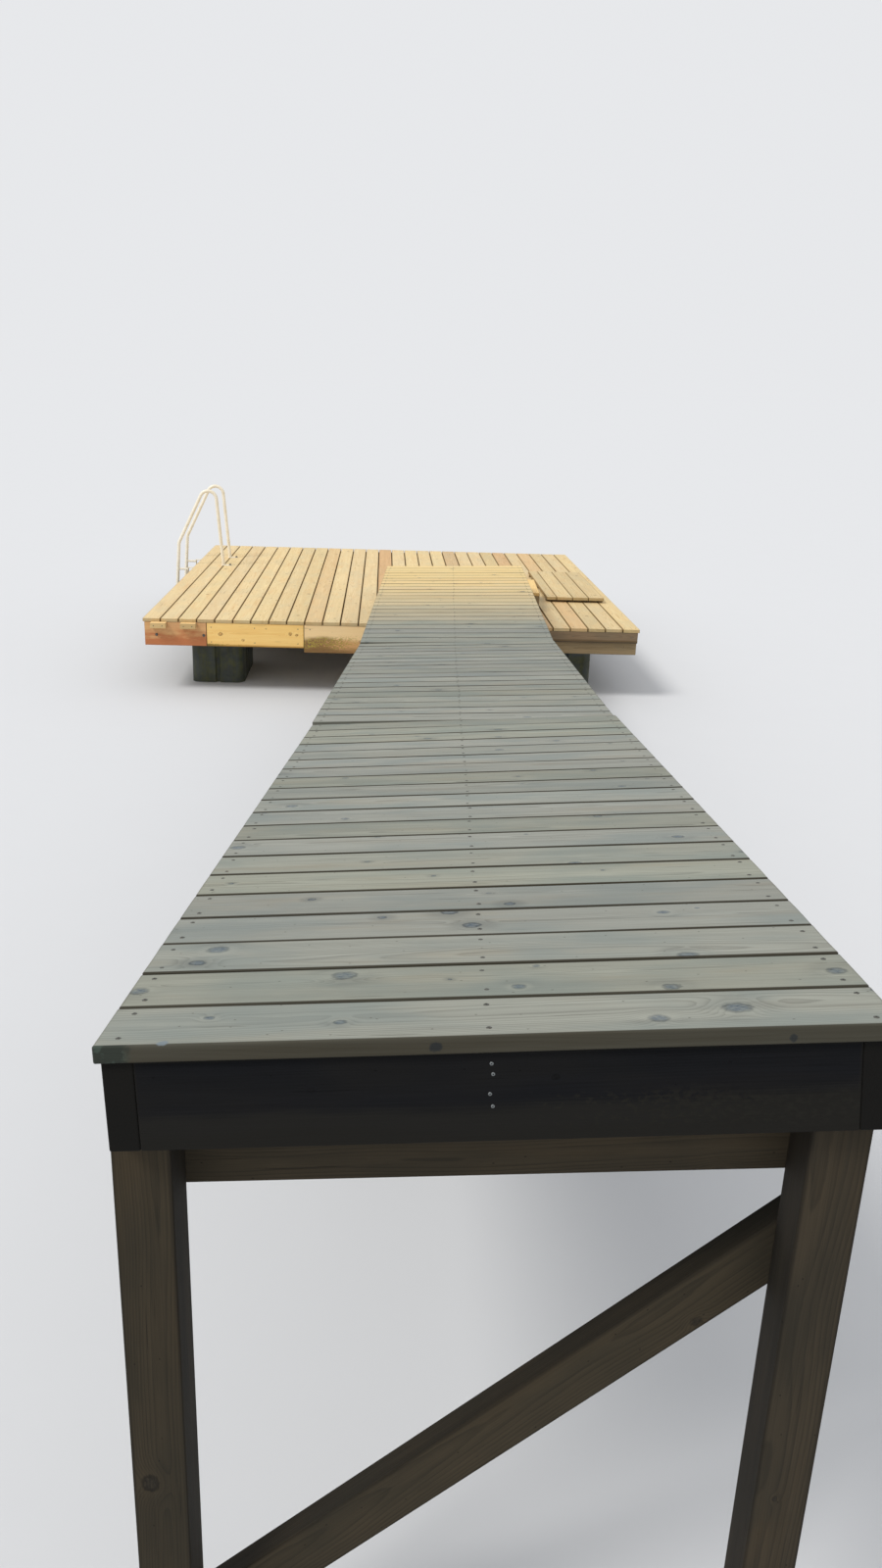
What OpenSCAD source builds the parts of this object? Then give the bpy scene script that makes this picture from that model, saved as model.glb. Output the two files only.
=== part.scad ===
// Wooden jetty: a gangway in three sloping bays on post trestles, leading down to
// a square floating platform with a bathing ladder. Millimetres, Z up, Y from the
// shore to the lake. Level 0 is the ground under the posts and the floats.

/* [Timber] */
// Thickness of the deck boards
board_t = 28; // [22:1:36]
// Width of a deck board
board_w = 145; // [125:1:165]
// Gap between two gangway boards
board_gap = 5; // [4:1:8]
// Thickness of stringers, headers, caps, rims and joists
beam_t = 48; // [40:1:60]
// Depth of the gangway stringers and headers
stringer_h = 148; // [120:1:180]
// Side of the square trestle posts
post_w = 95; // [80:1:120]
// Depth of the cap beams on the trestles
cap_h = 148; // [100:1:180]
// Width of the diagonal braces
brace_w = 95; // [70:1:120]

/* [Gangway] */
// Width of the gangway deck
gangway_w = 1200; // [1000:10:1500]
// Boards in the bay at the shore
shore_bay_boards = 20; // [16:1:24]
// Boards in the middle bay
middle_bay_boards = 18; // [14:1:22]
// Boards in the outer bay
outer_bay_boards = 23; // [18:1:27]
// Fall of the shore bay towards the lake, degrees
shore_bay_fall = 7; // [4:0.5:9]
// Fall of the middle bay, degrees
middle_bay_fall = 5.7; // [3:0.1:7]
// Fall of the outer bay, degrees
outer_bay_fall = 0.8; // [0:0.1:2]
// Rise of the shore bay to its right side, degrees
shore_bay_tilt = 3.8; // [0:0.1:5]
// Rise of the middle bay to its right side, degrees
middle_bay_tilt = 2.8; // [0:0.1:4]
// Rise of the outer bay to its right side, degrees
outer_bay_tilt = 2.1; // [0:0.1:3]
// Overhang of the boards past the outer stringers
side_over = 8; // [4:1:20]
// Overhang of the first board past the shore header
shore_over = 10; // [4:1:20]
// Setback of the shore posts from the deck's shore edge
shore_post_set = 30; // [20:1:60]
// Gap between a brace and the bottom of the cap above it
brace_drop = 20; // [10:1:50]
// Height of the low end of a brace above the ground
brace_foot = 120; // [80:5:200]

/* [Platform] */
// Number of platform boards
platform_boards_n = 28; // [24:1:30]
// Width of a platform board, shrunk by the sun
platform_board_w = 140; // [125:1:160]
// Gap between two platform boards
platform_gap = 9; // [4:1:12]
// Length of the platform boards
platform_l = 4430; // [3900:10:4800]
// Turn of the platform to the gangway, degrees
platform_yaw = 2.9; // [1:0.1:4]
// Depth of the platform's rims and joists
joist_h = 198; // [160:1:220]
// Joists between the front beam and the back rim
joists_n = 6; // [5:1:7]
// Setback of the rims from the board ends
rim_set = 12; // [6:1:20]
// Distance from the platform's left edge to the gangway's centreline
landing_x = 2620; // [2400:10:2700]
// How far the gangway reaches over the platform
landing_y = 830; // [760:10:900]

/* [Front of the platform] */
// Thickness of the front fascia boards
fascia_t = 32; // [25:1:38]
// Setback of the fascia boards from the board ends
fascia_set = 3; // [2:1:8]
// Length of the open stretch where the old red beam shows
red_beam_l = 508; // [450:2:560]
// Height of the two packing blocks on the red beam's face
block_h = 45; // [38:1:60]
// Width of a packing block
block_w = 128; // [100:1:150]
// How far the packing blocks stick out of the red beam's face
block_out = 60; // [30:1:75]
// Distance from the red beam's left end to the first block
block_x = 56; // [30:1:80]
// Spacing of the two blocks
block_pitch = 245; // [200:1:270]
// Length of the new fascia board
new_fascia_l = 804; // [700:4:900]
// Length of the weathered fascia board
weathered_fascia_l = 1120; // [900:10:1300]
// How far the weathered board hangs below the front beam
weathered_drop = 36; // [20:1:50]
// Depth of the brown fascia strip on the right
brown_fascia_h = 92; // [70:1:120]
// Gap between two fascia boards
fascia_gap = 4; // [2:1:8]

/* [Floats] */
// Height of a float
float_h = 394; // [340:1:440]
// Width of a float
float_w = 450; // [400:10:520]
// Length of a float
float_l = 800; // [700:10:900]
// Rows of floats under the platform
float_rows = 3; // [2:1:4]
// Distance from the platform's side to the float's centre
float_in = 560; // [450:10:700]
// Width of the moulded rim round the top of a float
float_lip = 25; // [15:1:35]
// Thickness of that rim
float_lip_t = 22; // [15:1:30]
// Radius of a float's upright edges
float_r = 70; // [50:1:90]
// Radius of the moulded flutes
flute_r = 22; // [15:1:28]

/* [Landing step] */
// Boards on the landing step, side by side
step_boards = 9; // [9:1:10]
// Length of the step's boards
step_l = 740; // [650:10:900]
// Depth of the step's bearers
step_bearer_h = 145; // [120:1:160]
// Bearers across the platform under the step
step_bearers = 3; // [2:1:4]
// How far the gangway bears on the step
step_bearing = 105; // [90:1:130]
// How far the step shows past the gangway's right side
step_out = 170; // [120:5:240]
// Least thickness of the wedges under the stringers
wedge_t = 3; // [2:1:10]
// Length of a wedge
wedge_l = 64; // [50:1:75]

/* [Side panel] */
// Width of the panel's narrow first board
panel_first_w = 90; // [60:1:120]
// Full boards in the panel
panel_full_n = 3; // [2:1:3]
// Length of the panel boards
panel_l = 1540; // [1200:10:1700]
// Distance of the panel from the platform's shore edge
panel_y = 1210; // [1000:10:1300]
// Distance of the panel from the platform's right edge
panel_in = 98; // [60:1:130]
// Width of the battens under the panel
batten_w = 45; // [35:1:60]
// Thickness of those battens
batten_t = 22; // [18:1:45]
// Battens under the panel
battens_n = 3; // [2:1:4]
// Setback of the outer battens from the board ends
batten_set = 60; // [30:1:120]

/* [Bathing ladder] */
// Diameter of the ladder's tube
tube_d = 34; // [26:1:38]
// How much thinner the tube is drawn in its bends
bend_thin = 0.6; // [0.4:0.1:1.2]
// Distance between the two handrails
rail_gap = 560; // [480:5:620]
// Distance from the shore edge to the near handrail
rail_y = 2910; // [2600:10:3200]
// Distance from the platform's edge to the rail's foot
rail_foot_x = 292; // [250:2:340]
// Lean of the inner leg to the water, degrees
rail_foot_lean = 4.7; // [2:0.1:7]
// Height of the handrail's top above the deck
rail_top = 783; // [700:1:900]
// Radius of the bend at the top
rail_top_r = 85; // [70:1:100]
// Distance of the knee from the platform's edge
rail_knee_out = 168; // [150:1:200]
// Height of the knee above the deck
rail_knee_z = 235; // [200:5:280]
// Radius of the bend at the knee
rail_knee_r = 90; // [60:1:120]
// Rise of the slanted stretch, degrees
rail_slant = 63.7; // [60:0.1:66]
// Lean of the outer leg from upright, degrees
rail_leg_lean = 4; // [2:0.1:6]
// Clearance of the outer legs from the ground
rail_clear = 20; // [10:1:60]
// Number of treads
treads_n = 2; // [1:1:2]
// Depth of the first tread below the deck
tread_first = 250; // [220:5:270]
// Spacing of the treads
tread_pitch = 245; // [220:5:250]
// Width of a tread
tread_w = 80; // [60:1:100]
// Height of a tread
tread_h = 30; // [24:1:36]
// Wall of a tread's channel
tread_wall = 4; // [3:1:6]
// Length of the foot plates, from the rail inwards
flange_l = 112; // [90:1:140]
// Width of the foot plates
flange_w = 48; // [44:1:60]
// Thickness of the foot plates
flange_t = 6; // [4:1:8]
// Reach of the hooked brackets from the platform's edge
bracket_out = 83; // [60:1:100]
// Width of a bracket
bracket_w = 50; // [40:1:60]
// Height of a bracket
bracket_h = 56; // [45:1:70]
// Thickness of a bracket's plate
bracket_t = 6; // [4:1:8]
// Diameter of the arms from the brackets to the rails
arm_d = 22; // [16:1:24]
// Height of an arm above the bracket's lower edge
arm_rise = 36; // [20:1:40]

/* [Hidden] */
$fn = 48;

// Longer than any cut needs to be
far_away = 16000;

// Gangway: bay k starts at bay_pos[k], with its own fall and sideways tilt
pitch = board_w + board_gap;
frame_h = board_t + stringer_h;
bay_n = [shore_bay_boards, middle_bay_boards, outer_bay_boards];
bay_fall = [shore_bay_fall, middle_bay_fall, outer_bay_fall];
bay_tilt = [shore_bay_tilt, middle_bay_tilt, outer_bay_tilt];
bay_l = [for (n = bay_n) n * pitch];
stringer_x = gangway_w / 2 - side_over - beam_t / 2;
post_x = gangway_w / 2 - side_over - post_w / 2;

// Platform: its corner near the shore on the left is platform_pos
platform_pitch = platform_board_w + platform_gap;
platform_w = platform_boards_n * platform_pitch - platform_gap;
platform_z = float_h + joist_h + board_t;
step_z = step_bearer_h + board_t;
step_w = step_boards * pitch - board_gap;
step_x = gangway_w / 2 + step_out - step_w;

// Heights: the gangway's low corner ends one thin wedge above the landing step
low_corner = (gangway_w / 2 - side_over) * sin(outer_bay_tilt);
end_z = platform_z + step_z + wedge_t + low_corner + frame_h;
function run(k) = k < 0 ? 0 : run(k - 1) + bay_l[k] * cos(bay_fall[k]);
function drop(k) = k < 0 ? 0 : drop(k - 1) + bay_l[k] * sin(bay_fall[k]);
bay_pos = [for (k = [0 : 3]) [0, run(k - 1), end_z + drop(2) - drop(k - 1)]];

function rot_x(p, a) = [p.x, p.y * cos(a) - p.z * sin(a), p.y * sin(a) + p.z * cos(a)];
function rot_y(p, a) = [p.x * cos(a) + p.z * sin(a), p.y, p.z * cos(a) - p.x * sin(a)];
function rot_z(p, a) = [p.x * cos(a) - p.y * sin(a), p.x * sin(a) + p.y * cos(a), p.z];
function bay_point(k, p) = bay_pos[k] + rot_x(rot_y(p, -bay_tilt[k]), -bay_fall[k]);

// The platform is turned about the point where the gangway ends on it
platform_pos = [0, bay_pos[3].y, platform_z] - rot_z([landing_x, landing_y, 0], platform_yaw);
function platform_point(p) = platform_pos + rot_z(p, platform_yaw);

// Ladder outline in the upright plane of one handrail: x from the platform's edge, z from the deck
function line_x(p, a, z) = p.x + (z - p.y) / tan(a);
rail_foot = [rail_foot_x, 0];
rail_knee = [-rail_knee_out, rail_knee_z];
rail_turn = 90 + rail_foot_lean;
rail_peak_z = (rail_foot.x - rail_knee.x + rail_knee.y / tan(rail_slant))
            / (1 / tan(rail_slant) + tan(rail_foot_lean));
rail_peak = [line_x(rail_foot, rail_turn, rail_peak_z), rail_peak_z];
rail_half = (rail_turn - rail_slant) / 2;
rail_bisector = (rail_turn + rail_slant) / 2;
rail_round_z = rail_peak_z - rail_top_r / sin(rail_half) * sin(rail_bisector) + rail_top_r + tube_d / 2;
rail_lift = rail_top - rail_round_z;
leg_z = rail_clear - platform_z;
leg_foot = [rail_knee.x - (rail_knee.y + rail_lift - leg_z) * tan(rail_leg_lean), leg_z];
rail_path = [leg_foot, rail_knee + [0, rail_lift], rail_peak + [0, rail_lift],
             rail_foot - [0, flange_t * 2] + [tan(rail_foot_lean) * flange_t * 2, 0]];

// Extents, so that the origin is the bottom centre of the whole jetty
shore_corners = [for (x = [-1, 1], q = [[0, 0], [0, -board_t], [shore_over, -frame_h]])
                 bay_point(0, [x * gangway_w / 2, q[0], q[1]])];
platform_corners = [for (x = [0, platform_w], y = [0, platform_l]) platform_point([x, y, 0])];
leg_side = platform_point([leg_foot.x - tube_d / 2 * cos(rail_leg_lean), rail_y + rail_gap, 0]);
y_low = min([for (p = shore_corners) p.y]);
y_high = max([for (p = platform_corners) p.y]);
x_low = leg_side.x;
x_high = max([for (p = platform_corners) p.x]);
origin = [-(x_low + x_high) / 2, -(y_low + y_high) / 2, 0];

// Colours
new_pine = "#b9bba2";
lit_pine = "#e3cd98";
stringer_brown = "#4a4438";
old_wood = "#a98f6c";
float_grey = "#3f4447";
cream = "#e4dccb";

module in_bay(k) {
    translate(origin + bay_pos[k])
        rotate([-bay_fall[k], 0, 0])
            rotate([0, -bay_tilt[k], 0])
                children();
}

module on_platform() {
    translate(origin + platform_pos)
        rotate([0, 0, platform_yaw])
            children();
}

// Level with the platform's deck, but in line with the gangway and starting at its outer end
module at_gangway_end() {
    translate(origin + [0, bay_pos[3].y, platform_z])
        children();
}

// A straight piece of timber from its lowest corner
module timber(corner, size) {
    translate(corner)
        cube(size);
}

// Everything above the underside of bay k
module above_bay_frame(k) {
    in_bay(k)
        timber([-far_away / 2, -far_away / 2, -frame_h], [far_away, far_away, far_away]);
}

// Gangway decks, stringers and crosspieces
module bay_boards(k) {
    in_bay(k)
        for (i = [0 : bay_n[k] - 1])
            timber([-gangway_w / 2, i * pitch, -board_t], [gangway_w, board_w, board_t]);
}

module shore_bay_boards_row() {
    color(new_pine)
        bay_boards(0);
}

module middle_bay_boards_row() {
    color(new_pine)
        bay_boards(1);
}

module outer_bay_boards_row() {
    color(lit_pine)
        bay_boards(2);
}

// The outer stringers run through, the middle one stops at the end pieces
module bay_stringers(k, start) {
    end = bay_l[k] - board_gap;
    in_bay(k)
        for (side = [-1, 0, 1]) {
            inset = side == 0 ? beam_t : 0;
            timber([side * stringer_x - beam_t / 2, start + inset, -frame_h],
                   [beam_t, end - start - 2 * inset, stringer_h]);
        }
}

module shore_bay_stringers() {
    color(stringer_brown)
        bay_stringers(0, shore_over);
}

module middle_bay_stringers() {
    color(stringer_brown)
        bay_stringers(1, 0);
}

module outer_bay_stringers() {
    color(stringer_brown)
        bay_stringers(2, 0);
}

// End piece between the outer stringers of bay k, from y onwards
module end_piece(k, y) {
    in_bay(k)
        timber([beam_t / 2 - stringer_x, y, -frame_h], [2 * stringer_x - beam_t, beam_t, stringer_h]);
}

// Two rows of short noggings on both sides of the middle stringer
module noggings(k) {
    noggin_l = stringer_x - beam_t;
    in_bay(k)
        for (x = [beam_t / 2, beam_t / 2 - stringer_x], third = [1, 2])
            timber([x, (third * bay_l[k] - beam_t * third) / 3, -frame_h], [noggin_l, beam_t, stringer_h]);
}

module shore_header() {
    color("#2b2a26")
        end_piece(0, shore_over);
}

module shore_bay_crosspieces() {
    color(stringer_brown) {
        end_piece(0, bay_l[0] - board_gap - beam_t);
        noggings(0);
    }
}

module inner_crosspieces(k) {
    color(stringer_brown) {
        end_piece(k, 0);
        end_piece(k, bay_l[k] - board_gap - beam_t);
        noggings(k);
    }
}

module middle_bay_crosspieces() {
    inner_crosspieces(1);
}

module outer_bay_crosspieces() {
    inner_crosspieces(2);
}

// A pair of posts from the ground to the undersides of the bays they carry
module trestle_posts(y, bays) {
    difference() {
        translate(origin)
            for (side = [-1, 1])
                timber([side * post_x - post_w / 2, y - post_w / 2, 0], [post_w, post_w, far_away / 2]);
        for (k = bays)
            above_bay_frame(k);
    }
}

// A cap beam bolted to the posts' face, its top cut to the underside of bay k
module cap(k, y) {
    intersection() {
        translate(origin)
            timber([side_over - gangway_w / 2, y, 0], [gangway_w - 2 * side_over, beam_t, far_away / 2]);
        in_bay(k)
            timber([-far_away / 2, -far_away / 2, -frame_h - cap_h], [far_away, far_away, cap_h]);
    }
}

// A diagonal brace on a face of the posts, from one foot to just under the cap
module brace(k, y) {
    reach = gangway_w / 2 - side_over;
    top_point = bay_point(k, [reach, (y - bay_pos[k].y) / cos(bay_fall[k]), -frame_h]);
    top_z = top_point.z - cap_h - brace_drop;
    end_h = brace_w * sqrt(1 + pow((top_z - brace_foot) / (2 * reach), 2));
    low_z = top_z - end_h;
    translate(origin + [0, y, 0])
        rotate([90, 0, 0])
            linear_extrude(beam_t)
                polygon([[-reach, brace_foot], [reach, low_z], [reach, top_z],
                         [-reach, brace_foot + end_h]]);
}

shore_post_y = shore_post_set + post_w / 2;

module shore_posts() {
    color(stringer_brown)
        trestle_posts(shore_post_y, [0]);
}

module first_trestle_posts() {
    color(stringer_brown)
        trestle_posts(bay_pos[1].y, [0, 1]);
}

module second_trestle_posts() {
    color(stringer_brown)
        trestle_posts(bay_pos[2].y, [1, 2]);
}

module shore_cap() {
    color(stringer_brown)
        cap(0, shore_post_y + post_w / 2);
}

module pair_of_caps(k) {
    color(stringer_brown) {
        cap(k - 1, bay_pos[k].y - post_w / 2 - beam_t);
        cap(k, bay_pos[k].y + post_w / 2);
    }
}

module first_trestle_caps() {
    pair_of_caps(1);
}

module second_trestle_caps() {
    pair_of_caps(2);
}

module shore_brace() {
    color(stringer_brown)
        brace(0, shore_post_y + post_w / 2 + beam_t);
}

module first_trestle_brace() {
    color(stringer_brown)
        brace(0, bay_pos[1].y - post_w / 2);
}

module second_trestle_brace() {
    color(stringer_brown)
        brace(1, bay_pos[2].y - post_w / 2);
}

// Landing step on the platform, which carries the gangway's outer end
module landing_step_boards() {
    color(lit_pine)
        at_gangway_end()
            for (i = [0 : step_boards - 1])
                timber([step_x + i * pitch, -step_bearing, step_bearer_h], [board_w, step_l, board_t]);
}

module landing_step_bearers() {
    spacing = (step_l - beam_t) / (step_bearers - 1);
    color(old_wood)
        at_gangway_end()
            for (i = [0 : step_bearers - 1])
                timber([step_x, i * spacing - step_bearing, 0], [step_w, beam_t, step_bearer_h]);
}

// Tapered wedges between the step and the three stringers
module landing_wedges() {
    blank_h = 2 * low_corner + wedge_t + board_t;
    color(old_wood)
        difference() {
            in_bay(2)
                for (side = [-1, 0, 1])
                    timber([side * stringer_x - beam_t / 2, bay_l[2] - board_gap - wedge_l, -frame_h - blank_h],
                           [beam_t, wedge_l, blank_h]);
            at_gangway_end()
                timber([-far_away / 2, -far_away / 2, step_z - far_away], [far_away, far_away, far_away]);
        }
}

// Platform deck and frame
module platform_boards() {
    color(lit_pine)
        on_platform()
            for (i = [0 : platform_boards_n - 1])
                timber([i * platform_pitch, 0, -board_t], [platform_board_w, platform_l, board_t]);
}

frame_z = -board_t - joist_h;
front_y = fascia_set + fascia_t;
front_back_y = front_y + beam_t;
red_back_y = fascia_set + beam_t;
back_y = platform_l - rim_set - beam_t;
left_in = rim_set + beam_t;
right_in = platform_w - rim_set - beam_t;
red_end_x = rim_set + red_beam_l;

module platform_joists() {
    spacing = (back_y - front_back_y) / (joists_n + 1);
    color(old_wood)
        on_platform()
            for (i = [1 : joists_n])
                timber([left_in, front_back_y + i * spacing - beam_t / 2, frame_z],
                       [right_in - left_in, beam_t, joist_h]);
}

module left_rim() {
    color(old_wood)
        on_platform()
            timber([rim_set, red_back_y, frame_z], [beam_t, back_y - red_back_y, joist_h]);
}

module right_rim() {
    color(old_wood)
        on_platform()
            timber([right_in, front_back_y, frame_z], [beam_t, back_y - front_back_y, joist_h]);
}

module back_rim() {
    color(old_wood)
        on_platform()
            timber([rim_set, back_y, frame_z], [platform_w - 2 * rim_set, beam_t, joist_h]);
}

module front_beam() {
    color(old_wood)
        on_platform()
            timber([red_end_x, front_y, frame_z], [platform_w - rim_set - red_end_x, beam_t, joist_h]);
}

module old_red_beam() {
    color("#a8684a")
        on_platform()
            timber([rim_set, fascia_set, frame_z], [red_beam_l, beam_t, joist_h]);
}

// Two blocks on the red beam's face, level with its top
module packing_blocks() {
    color(lit_pine)
        on_platform()
            for (i = [0, 1])
                timber([rim_set + block_x + i * block_pitch, fascia_set - block_out, -board_t - block_h],
                       [block_w, block_out, block_h]);
}

// Fascia boards nailed to the front beam, side by side
new_x = red_end_x + fascia_gap;
weathered_x = new_x + new_fascia_l + fascia_gap;
brown_x = weathered_x + weathered_fascia_l + fascia_gap;

module fascia(x, l, h) {
    on_platform()
        timber([x, fascia_set, -board_t - h], [l, fascia_t, h]);
}

module new_fascia() {
    color("#e0b35c")
        fascia(new_x, new_fascia_l, joist_h);
}

module weathered_fascia() {
    color("#9a8468")
        fascia(weathered_x, weathered_fascia_l, joist_h + weathered_drop);
}

module brown_fascia() {
    color("#7a6650")
        fascia(brown_x, platform_w - rim_set - brown_x, brown_fascia_h);
}

// Moulded float: a fluted block with rounded upright edges and a rim round its top
module rounded_outline(w, l, r) {
    translate([-w / 2, r - l / 2])
        square([w, l - 2 * r]);
    translate([r - w / 2, -l / 2])
        square([w - 2 * r, l]);
    for (x = [-1, 1], y = [-1, 1])
        translate([x * (w / 2 - r), y * (l / 2 - r)])
            circle(r);
}

module float_block() {
    flutes = 3;
    step_along = (float_l - 2 * float_r) / (flutes + 1);
    translate([0, 0, float_h - float_lip_t])
        linear_extrude(float_lip_t)
            rounded_outline(float_w + 2 * float_lip, float_l + 2 * float_lip, float_r + float_lip);
    linear_extrude(float_h - float_lip_t)
        difference() {
            rounded_outline(float_w, float_l, float_r);
            for (x = [-1, 1], i = [1 : flutes])
                translate([x * float_w / 2, float_r - float_l / 2 + i * step_along])
                    circle(flute_r);
            for (y = [-1, 1])
                translate([0, y * float_l / 2])
                    circle(flute_r);
        }
}

module float_row(x) {
    color(float_grey)
        on_platform()
            for (i = [0 : float_rows - 1])
                translate([x, (i + 0.5) * platform_l / float_rows, frame_z - float_h])
                    float_block();
}

module left_floats() {
    float_row(float_in);
}

module right_floats() {
    float_row(platform_w - float_in);
}

// Raised panel of a few boards on battens, at the platform's right side
panel_w = panel_first_w + panel_full_n * pitch;
panel_x = platform_w - panel_in - panel_w;

module side_panel_boards() {
    color(lit_pine)
        on_platform() {
            timber([panel_x, panel_y, batten_t], [panel_first_w, panel_l, board_t]);
            for (i = [0 : panel_full_n - 1])
                timber([panel_x + panel_first_w + board_gap + i * pitch, panel_y, batten_t],
                       [board_w, panel_l, board_t]);
        }
}

module side_panel_battens() {
    spacing = (panel_l - 2 * batten_set - batten_w) / (battens_n - 1);
    color(old_wood)
        on_platform()
            for (i = [0 : battens_n - 1])
                timber([panel_x, panel_y + batten_set + i * spacing, 0], [panel_w, batten_w, batten_t]);
}

// A tube bent through the points of a flat path, with one bend radius for each inner point.
// Each bend reaches a few degrees into the straight lengths beside it.
bend_lap = 2;
function unit(v) = v / norm(v);
function turn(a, b) = atan2(a.x * b.y - a.y * b.x, a.x * b.x + a.y * b.y);

module bent_tube(path, radii, d) {
    last = len(path) - 1;
    way = [for (i = [0 : last - 1]) unit(path[i + 1] - path[i])];
    bend = [for (i = [0 : last]) i == 0 || i == last ? 0 : turn(way[i - 1], way[i])];
    cut = [for (i = [0 : last]) i == 0 || i == last ? 0 : radii[i - 1] * tan(abs(bend[i]) / 2)];
    for (i = [0 : last - 1]) {
        start = path[i] + cut[i] * way[i];
        finish = path[i + 1] - cut[i + 1] * way[i];
        translate([start.x, start.y, 0])
            rotate([0, 90, atan2(way[i].y, way[i].x)])
                cylinder(h = norm(finish - start), d = d);
    }
    for (i = [1 : last - 1]) {
        side = sign(bend[i]);
        meet = path[i] - cut[i] * way[i - 1];
        centre = meet + side * radii[i - 1] * [-way[i - 1].y, way[i - 1].x];
        from = atan2(meet.y - centre.y, meet.x - centre.x) + min(0, bend[i]);
        translate([centre.x, centre.y, 0])
            rotate([0, 0, from - bend_lap])
                rotate_extrude(angle = abs(bend[i]) + 2 * bend_lap)
                    translate([radii[i - 1], 0])
                        circle(d = d - bend_thin);
    }
}

// One handrail, cut level on top of its foot flange
module rail(y) {
    on_platform()
        difference() {
            translate([0, y, 0])
                rotate([90, 0, 0])
                    bent_tube(rail_path, [rail_knee_r, rail_top_r], tube_d);
            timber([rail_foot_x / 2, y - tube_d, flange_t - rail_foot_x], [rail_foot_x, 2 * tube_d, rail_foot_x]);
        }
}

module near_rail() {
    color(cream)
        rail(rail_y);
}

module far_rail() {
    color(cream)
        rail(rail_y + rail_gap);
}

// The straight outer leg of a handrail, which treads and arms are coped to
module outer_leg(y) {
    translate([leg_foot.x, y, leg_foot.y])
        rotate([0, rail_leg_lean, 0])
            translate([0, 0, -tube_d])
                cylinder(h = rail_knee_z - leg_z, d = tube_d);
}

function leg_x(z) = leg_foot.x + (z - leg_z) * tan(rail_leg_lean);

// Channel treads between the outer legs, with coped ends
module ladder_treads() {
    color(cream)
        on_platform()
            difference() {
                for (i = [0 : treads_n - 1]) {
                    z = -tread_first - i * tread_pitch;
                    translate([leg_x(z), rail_y, z - tread_h])
                        difference() {
                            timber([-tread_w / 2, 0, 0], [tread_w, rail_gap, tread_h]);
                            timber([tread_wall - tread_w / 2, -1, -1],
                                   [tread_w - 2 * tread_wall, rail_gap + 2, tread_h - tread_wall + 1]);
                        }
                }
                outer_leg(rail_y);
                outer_leg(rail_y + rail_gap);
            }
}

// Foot plates with round ends, from just outside each rail inwards
module rail_flanges() {
    half = flange_w / 2;
    color(cream)
        on_platform()
            for (y = [rail_y, rail_y + rail_gap])
                translate([rail_foot_x, y, 0])
                    linear_extrude(flange_t) {
                        circle(half);
                        translate([0, -half])
                            square([flange_l - flange_w, flange_w]);
                        translate([flange_l - flange_w, 0])
                            circle(half);
                    }
}

// Hooked brackets under the board ends on the left rim, with arms to the outer legs
module standoff_arms() {
    arm_z = -board_t - bracket_h + arm_rise;
    color(cream)
        on_platform()
            difference() {
                for (y = [rail_y, rail_y + rail_gap]) {
                    translate([0, y + bracket_w / 2, 0])
                        rotate([90, 0, 0])
                            linear_extrude(bracket_w)
                                bracket_outline();
                    translate([leg_x(arm_z), y, arm_z])
                        rotate([0, 90, 0])
                            cylinder(h = -bracket_out - leg_x(arm_z), d = arm_d);
                }
                outer_leg(rail_y);
                outer_leg(rail_y + rail_gap);
            }
}

// Side view of a bracket: a plate on the rim, a top under the boards and a lip turned down
module bracket_outline() {
    width = rim_set + bracket_out;
    translate([-bracket_out, -board_t - bracket_h])
        difference() {
            square([width, bracket_h]);
            translate([bracket_t, -1])
                square([width - 2 * bracket_t, bracket_h - bracket_t + 1]);
        }
}

shore_bay_boards_row();
middle_bay_boards_row();
outer_bay_boards_row();
shore_bay_stringers();
middle_bay_stringers();
outer_bay_stringers();
shore_header();
shore_bay_crosspieces();
middle_bay_crosspieces();
outer_bay_crosspieces();
shore_posts();
first_trestle_posts();
second_trestle_posts();
shore_cap();
first_trestle_caps();
second_trestle_caps();
shore_brace();
first_trestle_brace();
second_trestle_brace();
landing_step_boards();
landing_step_bearers();
landing_wedges();
platform_boards();
platform_joists();
left_rim();
right_rim();
back_rim();
front_beam();
old_red_beam();
packing_blocks();
new_fascia();
weathered_fascia();
brown_fascia();
left_floats();
right_floats();
side_panel_boards();
side_panel_battens();
near_rail();
far_rail();
ladder_treads();
rail_flanges();
standoff_arms();
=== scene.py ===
# Wooden jetty. Every timber of the frame gets eased edges and procedural wood, and the
# fixings, the ladder's tubes and the floats' fittings are added. Metres, in the row frame.
from math import atan2, ceil, cos, pi, radians, sin, tan
from random import Random

import bmesh
import bpy
from mathutils import Matrix, Vector


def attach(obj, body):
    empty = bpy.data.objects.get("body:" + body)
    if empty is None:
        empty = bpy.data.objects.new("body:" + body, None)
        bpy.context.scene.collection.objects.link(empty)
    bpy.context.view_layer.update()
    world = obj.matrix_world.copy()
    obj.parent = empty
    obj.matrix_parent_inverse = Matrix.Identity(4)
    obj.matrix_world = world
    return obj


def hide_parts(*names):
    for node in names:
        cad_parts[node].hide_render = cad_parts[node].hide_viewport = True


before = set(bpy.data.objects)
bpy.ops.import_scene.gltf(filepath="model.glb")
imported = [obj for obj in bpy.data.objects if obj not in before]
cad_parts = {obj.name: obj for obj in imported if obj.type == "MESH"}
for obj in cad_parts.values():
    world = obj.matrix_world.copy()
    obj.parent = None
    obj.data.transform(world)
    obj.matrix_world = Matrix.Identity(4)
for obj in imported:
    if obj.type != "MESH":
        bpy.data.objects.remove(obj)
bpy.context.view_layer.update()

# Sizes in metres
BOARD_ARRIS = 0.003
TIMBER_ARRIS = 0.003
WEDGE_ARRIS = 0.0006
GROWTH_RING = 0.0042
SCREW_RADIUS = 0.0038
SCREW_SPREAD = 0.045
SCREW_MARGIN = 0.02
WATERLINE = 0.364

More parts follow.
